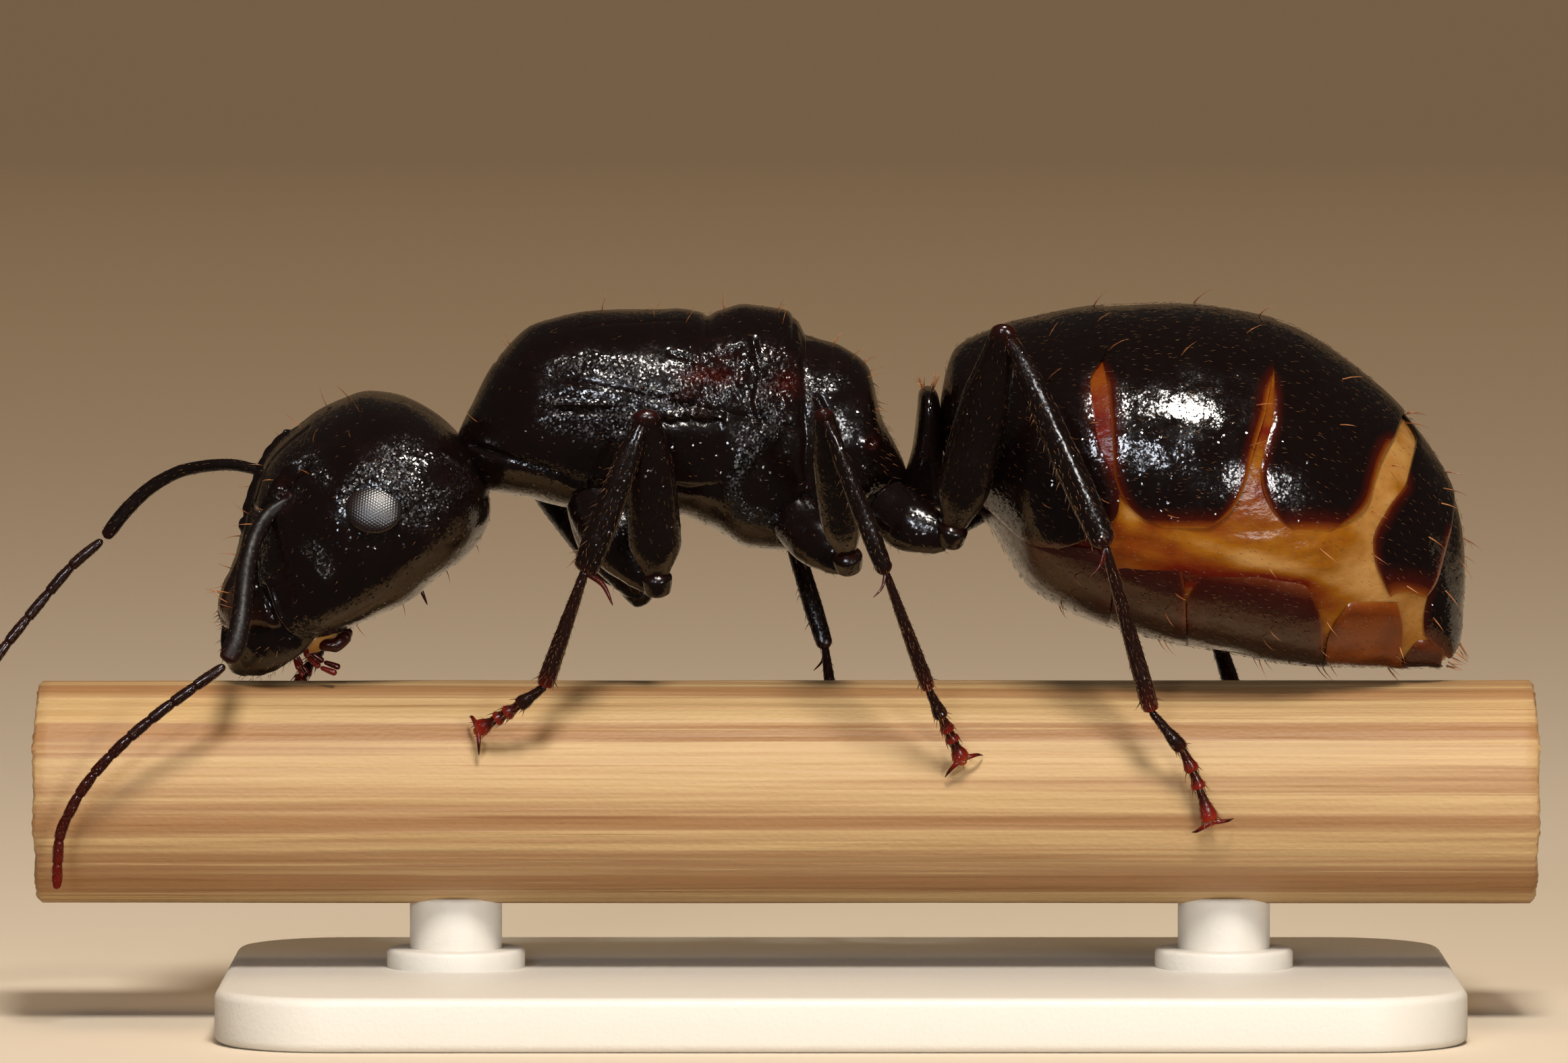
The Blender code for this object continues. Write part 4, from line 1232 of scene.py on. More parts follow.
def plate(front, rear, round_from, roundness, glow, clear=0.0, under=False):
    """A curved plate of the gaster between its front and rear edges, wrapped evenly over both flanks. It is
    black, or redder by the share that it is clear, and glows where it thins out along the flank."""
    front_edge = PlateEdge(front, under) if front else None
    rear_edge = PlateEdge(rear, under) if rear else None
    rear_reach = rear_edge.reach if rear else front_edge.reach
    front_reach = front_edge.reach if front else WHOLE_REACH

    bm = bmesh.new()
    bmesh.ops.create_grid(bm, x_segments=70, y_segments=220, size=1.0)
    grid = np.array([vert.co[:2] for vert in bm.verts])
    a, reach = grid[:, 0], np.abs(grid[:, 1])
    corner = clamp((reach - round_from) / (1 - round_from))
    shrink = np.sqrt(1 - roundness * corner**2)
    share = (a * shrink + 1) / 2
    turn = grid[:, 1] * (front_reach + (rear_reach - front_reach) * share)
    first = front_edge.place(turn) if front else np.full(len(a), GASTER_ENDS[0])
    last = rear_edge.place(turn) if rear else np.full(len(a), GASTER_ENDS[1])
    angle = turn + (math.pi if under else 0.0)
    u = first + (last - first) * share
    points, normals, _ = GASTER.surface(u, angle)

    length = np.linalg.norm(GASTER.point(last, angle) - GASTER.point(first, angle), axis=1)
    girth = np.linalg.norm(points - GASTER.frames(u)[0], axis=1) * rear_reach
    to_rear, to_front = (1 - a) * length / 2 * shrink, (1 + a) * length / 2 * shrink
    to_side = (1 - reach) * girth
    rim = np.minimum(np.minimum(to_rear, to_front), to_side)
    lift = PLATE_RISE * share - PLATE_SINK - RIM_DROP * clamp(1 - rim / RIM_WIDTH) ** 2
    lift += 0.006 * roughness_of(points, 0.35)
    flank = clamp((reach - 0.36) / 0.16)
    at_side = np.exp(-to_side / (BELLY_GLOW_WIDTH if under else FLANK_GLOW_WIDTH))
    at_end = np.exp(-np.minimum(to_rear, to_front + 0.04) / GLOW_WIDTH)
    tint = np.maximum(np.maximum(at_side, at_end) * flank * glow, clear)
    if under:
        lift -= MARGIN_DROP * clamp(1 - to_side / MARGIN_WIDTH)
        tint = tint + clear * 0.35 * roughness_of(points, 0.35)
    layer, _ = add_layers(bm)
    for vert, point, value in zip(bm.verts, points + normals * lift[:, None], tint):
        vert.co = point
        vert[layer] = value
    bmesh.ops.remove_doubles(bm, verts=bm.verts, dist=WELD)
    thicken(bm, PLATE_THICKNESS)
    return bm


def gaster_tint(_u, points):
    """How pale the soft skin is: cream along the belt, partly painted highlight, gold behind, and red up in
    the narrow gaps. Its places are in the side view."""
    x, z = points[:, 0], points[:, 2]
    # Cream band along the belt: partly paler stretched skin, partly painted highlight.
    cream_highlight_band = bell(z - 6.21 + 0.27 * (x - 4.9), 0.13) * bell(x - 5.5, 0.95)
    spot = bell(np.hypot(x - 3.74, (z - 6.68) * 0.7), 0.16)
    front_gap = clamp((4.4 - x) / 0.4) * clamp((z - 6.85) / 0.15)
    upper = 0.10 + 0.18 * clamp((z - 7.5) / 0.7)
    under = clamp((3.45 - x) / 0.25) * clamp((6.95 - z) / 0.2)
    tint = 0.44 + 0.58 * cream_highlight_band + 0.40 * spot + 0.34 * clamp((x - 6.3) / 0.5)
    tint -= 0.30 * bell(z - 5.80, 0.18) * clamp((6.3 - x) / 0.3)
    return tint + (upper - tint) * front_gap - 0.75 * under


def thicken(bm, thickness):
    """Gives an open sheet, whose normals may point either way, a wall towards the gaster's axis."""
    bmesh.ops.recalc_face_normals(bm, faces=bm.faces)
    bm.normal_update()
    centre = Vector((4.7, 0.0, 7.0))
    outward = sum((vert.co - centre).dot(vert.normal) for vert in bm.verts)
    inward = -thickness if outward > 0 else thickness
    walls = {vert: vert.normal * inward for vert in bm.verts}
    made = bmesh.ops.extrude_face_region(bm, geom=bm.faces[:], use_keep_orig=True)
    new_verts = [item for item in made["geom"] if isinstance(item, bmesh.types.BMVert)]
    shifts = {tuple(round(c, 6) for c in vert.co): move for vert, move in walls.items()}
    for vert in new_verts:
        vert.co += shifts[tuple(round(c, 6) for c in vert.co)]


class ANT_OT_gaster(bpy.types.Operator):
    """Models the gaster: dark plates above and below, over the soft skin that shows between them"""

    bl_idname = "ant.gaster"
    bl_label = "Gaster"

    def execute(self, context):
        add_piece("gaster_soft_skin", wrap(GASTER, 200, 260, gaster_relief, gaster_tint), "soft_skin")
        for number, (name, row) in enumerate(GASTER_PLATES.items(), 1):
            add_piece(name, plate(*row), "gaster_plate", f"gaster_{number}")
        for number, row in enumerate(BELLY_PLATES, 1):
            add_piece(f"sternite_{number}", plate(*row, under=True), "belly_plate")
        return {"FINISHED"}


# ---------------------------------------------------------------- legs and antennae

# Joints of each leg, with distances from the midline: the coxa's, the knee, the tibia's end, then the foot's
# from the end of its first segment to the claws. The last two numbers thicken the femur and the tibia.
LEGS = {
    "front_left": (
        ((-3.25, 0.60, 7.05), (-2.85, 0.95, 6.35), (-2.36, 1.26, 5.72)), (-2.50, 2.50, 8.06),
        (-3.29, 2.25, 5.95), ((-3.81, 1.86, 4.47), (-4.22, 1.70, 4.17), (-4.66, 1.48, 3.90)), 1.0, 1.0,
    ),
    "front_right": (
        ((-3.25, 0.60, 7.05), (-2.95, 0.92, 6.20), (-2.60, 1.15, 5.48)), (-4.26, 2.15, 7.42),
        (-5.80, 1.68, 5.73), ((-6.74, 1.38, 4.86), (-7.00, 1.30, 4.48), (-7.20, 1.22, 4.16)), 1.0, 0.95,
    ),
    "middle_left": (
        ((-0.66, 0.70, 6.70), (-0.25, 1.10, 6.30), (0.10, 1.42, 6.02)), (-0.24, 3.30, 8.10),
        (0.58, 2.90, 5.97), ((1.13, 2.10, 4.45), (1.36, 1.80, 3.95), (1.56, 1.58, 3.52)), 0.75, 0.66,
    ),
    "middle_right": (
        ((-0.66, 0.70, 6.70), (-0.35, 1.10, 6.25), (-0.15, 1.42, 5.95)), (-0.84, 3.30, 6.80),
        (-0.17, 2.50, 4.68), ((-0.03, 2.02, 3.52), (0.08, 1.82, 3.14), (0.19, 1.70, 2.74)), 0.75, 0.66,
    ),
    "hind_left": (
        ((0.46, 0.55, 6.82), (0.95, 0.85, 6.50), (1.42, 1.12, 6.34)), (2.11, 2.85, 9.16),
        (3.39, 2.62, 6.30), ((3.99, 2.02, 4.16), (4.42, 1.82, 3.62), (4.77, 1.62, 2.72)), 1.0, 1.0,
    ),
    "hind_right": (
        ((0.46, 0.55, 6.82), (0.95, 0.90, 6.45), (1.40, 1.20, 6.24)), (3.10, 3.60, 8.28),
        (4.75, 2.92, 5.65), ((5.25, 2.12, 4.02), (5.55, 1.88, 3.40), (5.75, 1.72, 2.80)), 1.0, 1.0,
    ),
}
COXA_RADII = ((0.0, 0.0), (0.12, 0.42), (0.45, 0.47), (0.85, 0.28), (0.97, 0.18), (1.0, 0.0))
MIDDLE_COXA_RADII = ((0.0, 0.0), (0.12, 0.36), (0.45, 0.38), (0.85, 0.26), (0.97, 0.18), (1.0, 0.0))
TROCHANTER_RADII = ((0.0, 0.0), (0.2, 0.17), (0.7, 0.20), (1.0, 0.0))
FEMUR_RADII = (
    (0.0, 0.0), (0.04, 0.17), (0.24, 0.345), (0.62, 0.320), (0.90, 0.200), (0.97, 0.165), (1.0, 0.0),
)
TIBIA_RADII = (
    (0.0, 0.0), (0.02, 0.085), (0.09, 0.105), (0.32, 0.165), (0.72, 0.190), (0.96, 0.165), (1.0, 0.0),
)
BASITARSUS_RADII = ((0.0, 0.0), (0.03, 0.060), (0.5, 0.095), (0.92, 0.115), (0.985, 0.10), (1.0, 0.0))
TARSOMERE_RADII = ((0.0, 0.0), (0.08, 0.048), (0.5, 0.068), (0.88, 0.098), (0.97, 0.085), (1.0, 0.0))
LAST_TARSOMERE_RADII = ((0.0, 0.0), (0.05, 0.045), (0.4, 0.065), (0.88, 0.115), (0.97, 0.10), (1.0, 0.0))
TOE_SHARES = (0.0, 0.40, 0.60, 0.74, 1.0)  # ends of the short foot segments along the rest of the foot
FOOT_RADIUS = 0.085
# Each tibia's spur, from its root to its tip on the right side
SPURS = {"front": (0.36, 0.02, -0.44), "middle": (-0.16, 0.05, -0.32), "hind": (-0.22, 0.05, -0.44)}
SPUR_RADII = ((0.0, 0.0), (0.08, 1.0), (0.5, 0.75), (1.0, 0.0))
SECOND_SPUR = Vector((0.10, 0.05, 0.10))  # how the hind tibia's second spur differs
PAD_LENGTH, PAD_RADIUS = 0.09, 0.075
CLAW_RADII = ((0.0, 0.0), (0.1, 0.040), (0.5, 0.027), (0.85, 0.014), (1.0, 0.0))
CLAW_REACH = 0.30
CLAW_SPREAD = math.radians(74.0)

SCAPES = {
    "left": ((-7.05, 0.92, 6.86), (-7.38, 1.02, 6.64), (-7.58, 1.25, 6.28), (-7.67, 1.52, 5.83),
             (-7.70, 1.75, 5.43), (-7.76, 1.93, 5.06), (-7.88, 2.04, 4.80)),
    "right": ((-7.12, 0.42, 6.85), (-7.56, 0.66, 7.13), (-8.00, 0.92, 7.20), (-8.52, 1.22, 7.13),
              (-8.96, 1.42, 6.93), (-9.36, 1.60, 6.58), (-9.66, 1.72, 6.20)),
}
FUNICULI = {
    "left": ((-7.90, 2.06, 4.76), (-8.30, 2.10, 4.48), (-8.80, 2.10, 4.11), (-9.25, 2.06, 3.72),
             (-9.62, 2.00, 3.32), (-9.88, 1.94, 2.92), (-10.05, 1.86, 2.48), (-10.09, 1.76, 1.86)),
    "right": ((-9.69, 1.74, 6.17), (-10.06, 1.73, 5.86), (-10.59, 1.69, 5.25), (-11.03, 1.62, 4.70),
              (-11.43, 1.54, 4.14), (-11.76, 1.44, 3.54), (-11.97, 1.33, 2.98), (-12.03, 1.25, 2.46)),
}
SCAPE_RADII = ((0.0, 0.0), (0.012, 0.085), (0.05, 0.060), (0.12, 0.075), (0.60, 0.088), (0.93, 0.100),
               (0.985, 0.085), (1.0, 0.0))
# The left scape turns its broad side to the left, and the right one its narrow side.
SCAPE_BREADTH = {"left": 1.38, "right": 0.95}
FUNICULUS_JOINTS = 11
FUNICULUS_RADIUS = 0.072
FUNICULUS_JOINT = ((0.10, 0.90), (0.55, 1.0), (0.90, 1.0))  # shares of a joint, and of the radius


def ends_tint(start, end, strength):
    """Redness that grows from one share of a limb to another."""
    return lambda u, _points: clamp((u - start) / (end - start)) ** 1.5 * strength


def both_ends_tint(strength):
    """Redness at both ends of a limb."""
    return lambda u, _points: (clamp(1 - u / 0.08) + clamp((u - 0.93) / 0.07)) * strength


def leg_skins(leg):
    """The skins of one leg by the name of the part, with the foot's segments in order. Each part begins a
    little inside the one before it, and the femur and tibia bow slightly."""
    part, side = leg.split("_")
    coxa, knee, tibia_end, foot, femur_share, tibia_share = LEGS[leg]
    coxa = [Vector(joint) for joint in signed(coxa, side)]
    knee, tibia_end = (Vector(joint) for joint in signed((knee, tibia_end), side))
    foot = [Vector(joint) for joint in clear_of_perch(signed(foot, side), FOOT_RADIUS)]
    hip = coxa[-1]
    run = (knee - hip).normalized()
    bend = (tibia_end - knee).normalized()
    inner = knee + bend * 0.04 - run * 0.10
    swing = inner.lerp(tibia_end, 0.12) + run * 0.05
    skins = {
        "coxa": LimbSkin(coxa, COXA_RADII if part == "front" else MIDDLE_COXA_RADII, flatness=0.85),
        "trochanter": LimbSkin([hip - run * 0.14, hip + run * 0.26], TROCHANTER_RADII, flatness=0.9),
        "femur": LimbSkin(
            [hip + run * 0.10, hip.lerp(knee, 0.5) - bend * 0.02, knee],
            scaled(FEMUR_RADII, femur_share), flatness=0.62,
        ),
        "tibia": LimbSkin(
            [inner, swing, swing.lerp(tibia_end, 0.5), tibia_end],
            scaled(TIBIA_RADII, tibia_share), flatness=0.70,
        ),
        "tarsomere_1": LimbSkin(
            [tibia_end - bend * 0.06, foot[0]], scaled(BASITARSUS_RADII, (1 + tibia_share) / 2), flatness=0.85
        ),
    }
    path = LimbSkin(foot, ((0.0, FOOT_RADIUS), (1.0, FOOT_RADIUS)))
    ends = path.centre(np.array(TOE_SHARES))
    for number, (one, two) in enumerate(zip(ends, ends[1:]), 2):
        radii = LAST_TARSOMERE_RADII if number == 5 else TARSOMERE_RADII
        lap = (Vector(two) - Vector(one)).normalized() * 0.035
        skins[f"tarsomere_{number}"] = LimbSkin([Vector(one) - lap, Vector(two)], radii, flatness=0.85)
    return skins


def foot_tip(skins):
    """The end of the last foot segment, and the ways onward along it and outward from the perch's axis."""
    tip, before = (Vector(skins["tarsomere_5"].centre(np.array([share]))[0]) for share in (1.0, 0.6))
    return tip, (tip - before).normalized(), Vector((0.0, tip.y, tip.z - PERCH_AXIS)).normalized()


def claw_tint(u, _points):
    """Clear red at a claw's root, and nearly black at its tip."""
    return clamp(0.95 - u * 0.9)


def claws(skins):
    """The two claws at the end of a foot, curling down to the perch."""
    tip, onward, outward = foot_tip(skins)
    across = onward.cross(outward).normalized()
    made = []
    for sign in (-1, 1):
        heading = onward * math.cos(CLAW_SPREAD) + across * math.sin(CLAW_SPREAD) * sign
        joints = [
            tip + heading * CLAW_REACH * share + outward * fall
            for share, fall in ((-0.10, 0.0), (0.35, 0.03), (0.75, 0.0), (1.0, -0.11))
        ]
        made.append(wrap(LimbSkin(joints, CLAW_RADII), 40, 14, None, claw_tint))
    return joined(made)


def foot(skins):
    """A foot's five segments, and the pad between its claws. The first two are red only at the end."""
    parts = []
    for number in range(1, 6):
        start, strength = (0.80, 0.60) if number < 3 else (-0.4, 0.50 + 0.08 * number)
        along = 60 if number == 1 else 36
        tint = ends_tint(start, 1.0, strength)
        parts.append(wrap(skins[f"tarsomere_{number}"], along, 30, lumps(0.003, 0.10), tint))
    tip, _, outward = foot_tip(skins)
    pad = LimbSkin([tip, tip - outward * PAD_LENGTH], scaled(BLUNT, PAD_RADIUS))
    parts.append(wrap(pad, 18, 18, None, ends_tint(-1.0, 0.0, 0.95)))
    return joined(parts)


def shin(skins, part, side):
    """A tibia with its spur, or on a hind leg its two."""
    root = Vector(skins["tibia"].centre(np.array([0.985]))[0])
    x, y, z = SPURS[part]
    run = Vector((x, y if side == "right" else -y, z))
    bow = run.cross(Vector((0, 1, 0))).normalized() * run.length * 0.12
    radius = 0.045 if part == "front" else 0.024
    parts = [wrap(skins["tibia"], 120, 44, lumps(0.003, 0.10), both_ends_tint(0.25))]
    for lean in (0.0, 1.0) if part == "hind" else (0.0,):
        tip = root + run + SECOND_SPUR * lean
        spur = LimbSkin([root, root.lerp(tip, 0.5) + bow, tip], scaled(SPUR_RADII, radius))
        parts.append(wrap(spur, 30, 14, None, ends_tint(-0.6, 0.4, 0.60)))
    return joined(parts)


class ANT_OT_legs(bpy.types.Operator):
    """Models the six legs down to the spurs, foot segments, foot pads and claws"""

    bl_idname = "ant.legs"
    bl_label = "Legs"

    def execute(self, context):
        for leg in LEGS:
            skins = leg_skins(leg)
            part, side = leg.split("_")
            coxa = wrap(skins["coxa"], 70, 64, lumps(0.010, 0.25))
            add_piece(f"{leg}_coxa", coxa, "black_cuticle", f"coxa_{leg}")
            thigh = joined([
                wrap(skins["trochanter"], 36, 40, lumps(0.003, 0.10), ends_tint(0.75, 1.0, 0.35)),
                wrap(skins["femur"], 110, 56, lumps(0.003, 0.10), both_ends_tint(0.22)),
            ])
            add_piece(f"{leg}_femur", thigh, "leg_cuticle", f"femur_{leg}")
            add_piece(f"{leg}_tibia", shin(skins, part, side), "leg_cuticle", f"tibia_{leg}")
            add_piece(f"{leg}_foot", foot(skins), "tarsus_cuticle", f"tarsus_{leg}")
            add_piece(f"{leg}_claws", claws(skins), "tarsus_cuticle")
        return {"FINISHED"}


def funiculus_skin(side):
    """The antenna's whip, pinched between its eleven joints, which shorten a little towards its tip."""
    ends = 0.02 + 0.98 * (np.arange(FUNICULUS_JOINTS + 1) / FUNICULUS_JOINTS) ** 0.94
    profile = [(0.0, 0.0), (0.008, 0.050 / FUNICULUS_RADIUS)]
    for start, end in zip(ends, ends[1:]):
        profile += [(start + (end - start) * share, size) for share, size in FUNICULUS_JOINT]
        profile.append((end, 0.80))
    # The last joint has no pinch after it: it rounds off to the tip.
    profile[-2:] = [(profile[-2][0], 0.72), (1.0, 0.0)]
    joints = clear_of_perch(signed(FUNICULI[side], side), FUNICULUS_RADIUS + 0.03)
    return LimbSkin(joints, scaled(profile, FUNICULUS_RADIUS))


def scape_skin(side):
    """The antenna's first long joint."""
    breadth = SCAPE_BREADTH[side]
    return LimbSkin(signed(SCAPES[side], side), scaled(SCAPE_RADII, breadth), flatness=1 / breadth)


class ANT_OT_antennae(bpy.types.Operator):
    """Models each antenna: the long scape with its ball joint, and the whip of eleven joints"""

    bl_idname = "ant.antennae"
    bl_label = "Antennae"

    def execute(self, context):
        for side in SIDES:
            scape = wrap(scape_skin(side), 160, 36, lumps(0.004, 0.08), both_ends_tint(0.2))
            add_piece(f"antenna_scape_{side}", scape, "scape_cuticle", f"scape_{side}")
            whip = wrap(funiculus_skin(side), 330, 30, lumps(0.004, 0.08), ends_tint(0.2, 1.0, 0.62))
            add_piece(f"antenna_whip_{side}", whip, "tarsus_cuticle", f"funiculus_{side}")
        return {"FINISHED"}


# ---------------------------------------------------------------- bristles


UV_PATCH = 0.003  # the side of one bristle's patch of its OFBake map


def bristle_template():
    """One bristle a unit long and a unit across: its points, its triangles and its share along."""
    bm = bmesh.new()
    bmesh.ops.create_cone(bm, cap_ends=True, cap_tris=True, segments=3, radius1=1.0, radius2=0.0, depth=1.0)
    bmesh.ops.translate(bm, verts=bm.verts, vec=(0, 0, 0.5))
    bmesh.ops.remove_doubles(bm, verts=bm.verts, dist=WELD)
    for height in (0.34, 0.68):
        geometry = bm.verts[:] + bm.edges[:] + bm.faces[:]
        bmesh.ops.bisect_plane(bm, geom=geometry, plane_co=(0, 0, height), plane_no=(0, 0, 1))
    bmesh.ops.triangulate(bm, faces=bm.faces)
    bmesh.ops.recalc_face_normals(bm, faces=bm.faces)
    bm.verts.index_update()
    points = np.array([vert.co for vert in bm.verts])
    faces = np.array([[vert.index for vert in face.verts] for face in bm.faces])
    bm.free()
    swell = 1 + 0.8 * points[:, 2] * (1 - points[:, 2])
    points[:, :2] *= swell[:, None]
    return points, faces


class Growth:
    """Bristles on one skin: where they root, and how long, thick and slanted they are. They curl over as they
    rise, and stray to either side of the way to the skin's far end."""

    def __init__(self, skin, u, angle, length, radius, slant, curl=0.35, stray=0.25):
        self.skin, self.u, self.angle = skin, u, angle
        self.length, self.radius, self.slant, self.curl, self.stray = length, radius, slant, curl, stray


FULL_TURN = (-math.pi, math.pi)


def spaced_roots(skin, spacing, rng, span, angles):
    """Roots about this far apart over a stretch of skin, in shaken rows."""
    u = np.linspace(span[0], span[1], 400)
    line = skin.frames(u)[0]
    travel = np.concatenate([[0.0], np.cumsum(np.linalg.norm(np.diff(line, axis=0), axis=1))])
    rows = max(2, int(travel[-1] / spacing))
    places, turns = [], []
    for row in range(rows):
        place = np.interp((row + 0.5) / rows * travel[-1], travel, u)
        _, upward, sideways = skin.frames(np.array([place]))
        girth = math.pi * (np.linalg.norm(upward) + np.linalg.norm(sideways))
        count = max(1, round(girth * (angles[1] - angles[0]) / math.tau / spacing))
        step = (angles[1] - angles[0]) / count
        turns.append(angles[0] + (np.arange(count) + rng.random(count)) * step)
        places.append(place + (rng.random(count) - 0.5) * (span[1] - span[0]) / rows)
    return np.clip(np.concatenate(places), 0.002, 0.998), np.concatenate(turns)


def curled_points(growth, template, rng, lift):
    """The points of every bristle of a growth, as rows of one template's points each."""
    share = template[:, 2]
    roots, normals, forward = growth.skin.world(growth.u, growth.angle)
    roots = roots + normals * lift
    count = len(roots)
    stray = rng.normal(0, growth.stray, count)[:, None]
    lie = unit(forward * np.cos(stray) + unit(np.cross(normals, forward)) * np.sin(stray))
    length = growth.length * rng.uniform(0.75, 1.2, count)[:, None]
    slant = growth.slant + rng.normal(0, 0.10, count)[:, None]
    curl = growth.curl * rng.uniform(0.5, 1.5, count)[:, None]
    rise = (np.sin(slant + curl * share) - np.sin(slant)) / curl * length
    run = (np.cos(slant) - np.cos(slant + curl * share)) / curl * length
    across = np.cross(normals, lie)
    other = unit(np.cross(across, normals * np.cos(slant) + lie * np.sin(slant)))
    return (
        (roots - normals * growth.radius)[:, None, :]
        + normals[:, None, :] * rise[:, :, None]
        + lie[:, None, :] * run[:, :, None]
        + across[:, None, :] * (template[:, 0] * growth.radius)[None, :, None]
        + other[:, None, :] * (template[:, 1] * growth.radius)[None, :, None]
    )


def add_coat(name, finish, growths, rng, lift=0.0):
    """One joined mesh of bristles. Its OFBake map puts each at its root's place on its skin's unwrap, where
    the skins share the map as cells of a square."""
    template, triangles = bristle_template()
    skins = list(dict.fromkeys(growth.skin for growth in growths))
    cells = math.ceil(math.sqrt(len(skins)))
    inside = np.column_stack([template[:, 0] * 0.5, template[:, 2] - 0.5]) * UV_PATCH
    points, faces, uvs, start = [], [], [], 0
    for growth in growths:
        count = len(growth.u)
        points.append(curled_points(growth, template, rng, lift).reshape(-1, 3))
        offsets = start + np.arange(count)[:, None, None] * len(template)
        faces.append((triangles[None, :, :] + offsets).reshape(-1, 3))
        start += count * len(template)
        row, column = divmod(skins.index(growth.skin), cells)
        around = (growth.angle / math.tau) % 1
        root_map = (np.column_stack([growth.u, around]) * 0.98 + 0.01 + (column, row)) / cells
        uvs.append((root_map[:, None, None, :] + inside[triangles][None, :, :, :]).reshape(-1, 2))
    mesh = bpy.data.meshes.new(name)
    mesh.from_pydata((np.concatenate(points) * MM).tolist(), [], np.concatenate(faces).tolist())
    bake_map = mesh.uv_layers.new(name="OFBake")
    bake_map.data.foreach_set("uv", np.concatenate(uvs).astype(np.float32).ravel())
    mesh.shade_smooth()
    coat = add_object(name, mesh, finish)
    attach(coat, "root")


# How far bristles slant from the skin's normal
ERECT, SLOPING, LYING = math.radians(12), math.radians(42), math.radians(72)
FLAT_DOWN, FOOT_DOWN = math.radians(75), math.radians(62)  # the fine hairs on the gaster and on the feet
BRISTLE_RADII = {
    "head": 0.0085, "trunk": 0.0080, "petiole": 0.0075, "gaster": 0.0105, "belly": 0.0095, "tip": 0.009,
}
DOWN_RADIUS = 0.0036
# Long bristles of the head: (place along, angle from the top) in its own axes, on both sides
HEAD_BRISTLES = (
    (-1.2, 0.25), (-0.9, 0.55), (-0.5, 0.3), (-0.2, 0.6), (0.2, 0.25), (0.5, 0.45), (0.8, 0.2), (1.1, 0.5),
    (1.3, 0.25), (1.5, 0.5), (1.7, 0.2), (1.8, 0.6), (1.9, 0.3), (-0.4, 2.8), (0.3, 2.9), (0.9, 2.7),
    (1.2, 2.9), (1.4, 2.6), (-0.9, 2.9),
)
# Long bristles of the trunk: (x, angle from the top), on both sides
TRUNK_BRISTLES = (
    (-4.3, 0.3), (-3.1, 0.2), (-2.4, 0.4), (-1.5, 0.25), (-0.8, 0.25), (-0.75, 0.5), (-0.1, 0.3),
    (0.15, 0.45), (0.35, 0.6), (0.45, 0.9), (-2.0, 0.5), (-4.7, 1.2), (0.3, 0.2),
)
# Rows across the gaster's plates: (x and z in the side view, bristles in the row)
GASTER_BRISTLES = (
    (2.6, 7.2, 6), (3.30, 7.2, 9), (4.4, 7.0, 5), (5.3, 7.0, 9), (6.2, 7.0, 6), (6.95, 6.9, 9), (7.5, 6.2, 9),
    (7.85, 5.7, 8),
)
BELLY_BRISTLES = ((2.9, 5.5, 6), (4.2, 5.0, 8), (5.4, 4.8, 8), (6.3, 4.8, 9), (7.2, 4.8, 8))


def paired_growth(skin, rows, level, length, radius, slant):
    """Single long bristles at (place along, angle) rows, one on each side of the midline."""
    places = [(skin.locate(along, level)[0], angle * sign) for along, angle in rows for sign in (1.0, -0.9)]
    u, angle = np.array(places).T
    return Growth(skin, u, angle, length, radius, slant, curl=0.5, stray=1.0)


def covering_growth(skin, spacing, rng, length, radius, slant, span=(0.03, 0.97), angles=FULL_TURN):
    """Bristles spread over a stretch of skin."""
    u, angle = spaced_roots(skin, spacing, rng, span, angles)
    return Growth(skin, u, angle, length, radius, slant)


def ring(count):
    """Angles evenly round a form."""
    return np.linspace(-math.pi, math.pi, count + 1)[:-1]


def grow_head(rng, short, tall):
    """Long bristles on the head, down all over it, and hair at the mouth and along the mandibles."""
    bristles = [paired_growth(HEAD, HEAD_BRISTLES, 0.0, tall * 0.75, BRISTLE_RADII["head"], ERECT)]
    hairs = [
        covering_growth(HEAD, 0.24, rng, short * 0.7, DOWN_RADIUS, LYING),
        covering_growth(HEAD, 0.12, rng, short * 1.4, 0.0048, SLOPING, (0.90, 0.985)),
    ]
    for side in SIDES:
        joints = [HEAD.place @ Vector(joint) for joint in signed(MANDIBLE_JOINTS, side, left=1.0)]
        blade = LimbSkin(joints, MANDIBLE_RADII, flatness=0.62)
        hairs.append(covering_growth(blade, 0.13, rng, short * 1.1, 0.0045, SLOPING, (0.25, 0.95)))
    add_coat("head_bristles", "long_bristle", bristles, rng)
    add_coat("head_hairs", "fine_hair", hairs, rng)


def grow_trunk(rng, short, tall):
    """Long bristles on the trunk and round the petiole's crest, and down on the trunk."""
    crest = np.linspace(-1.1, 1.1, 9)
    bristles = [paired_growth(TRUNK, TRUNK_BRISTLES, 7.9, tall * 0.7, BRISTLE_RADII["trunk"], ERECT)]
    for turn in (0.0, math.pi):
        rim = Growth(
            PETIOLE, np.full(9, 0.93), crest + turn, tall * 0.6, BRISTLE_RADII["petiole"], ERECT, stray=0.6
        )
        bristles.append(rim)
    hairs = [
        covering_growth(TRUNK, 0.24, rng, short * 0.7, DOWN_RADIUS, LYING),
        covering_growth(TRUNK, 0.14, rng, short * 1.2, 0.0042, SLOPING, (0.86, 0.97), (-1.9, 1.9)),
    ]
    add_coat("trunk_bristles", "long_bristle", bristles, rng)
    add_coat("trunk_hairs", "fine_hair", hairs, rng)


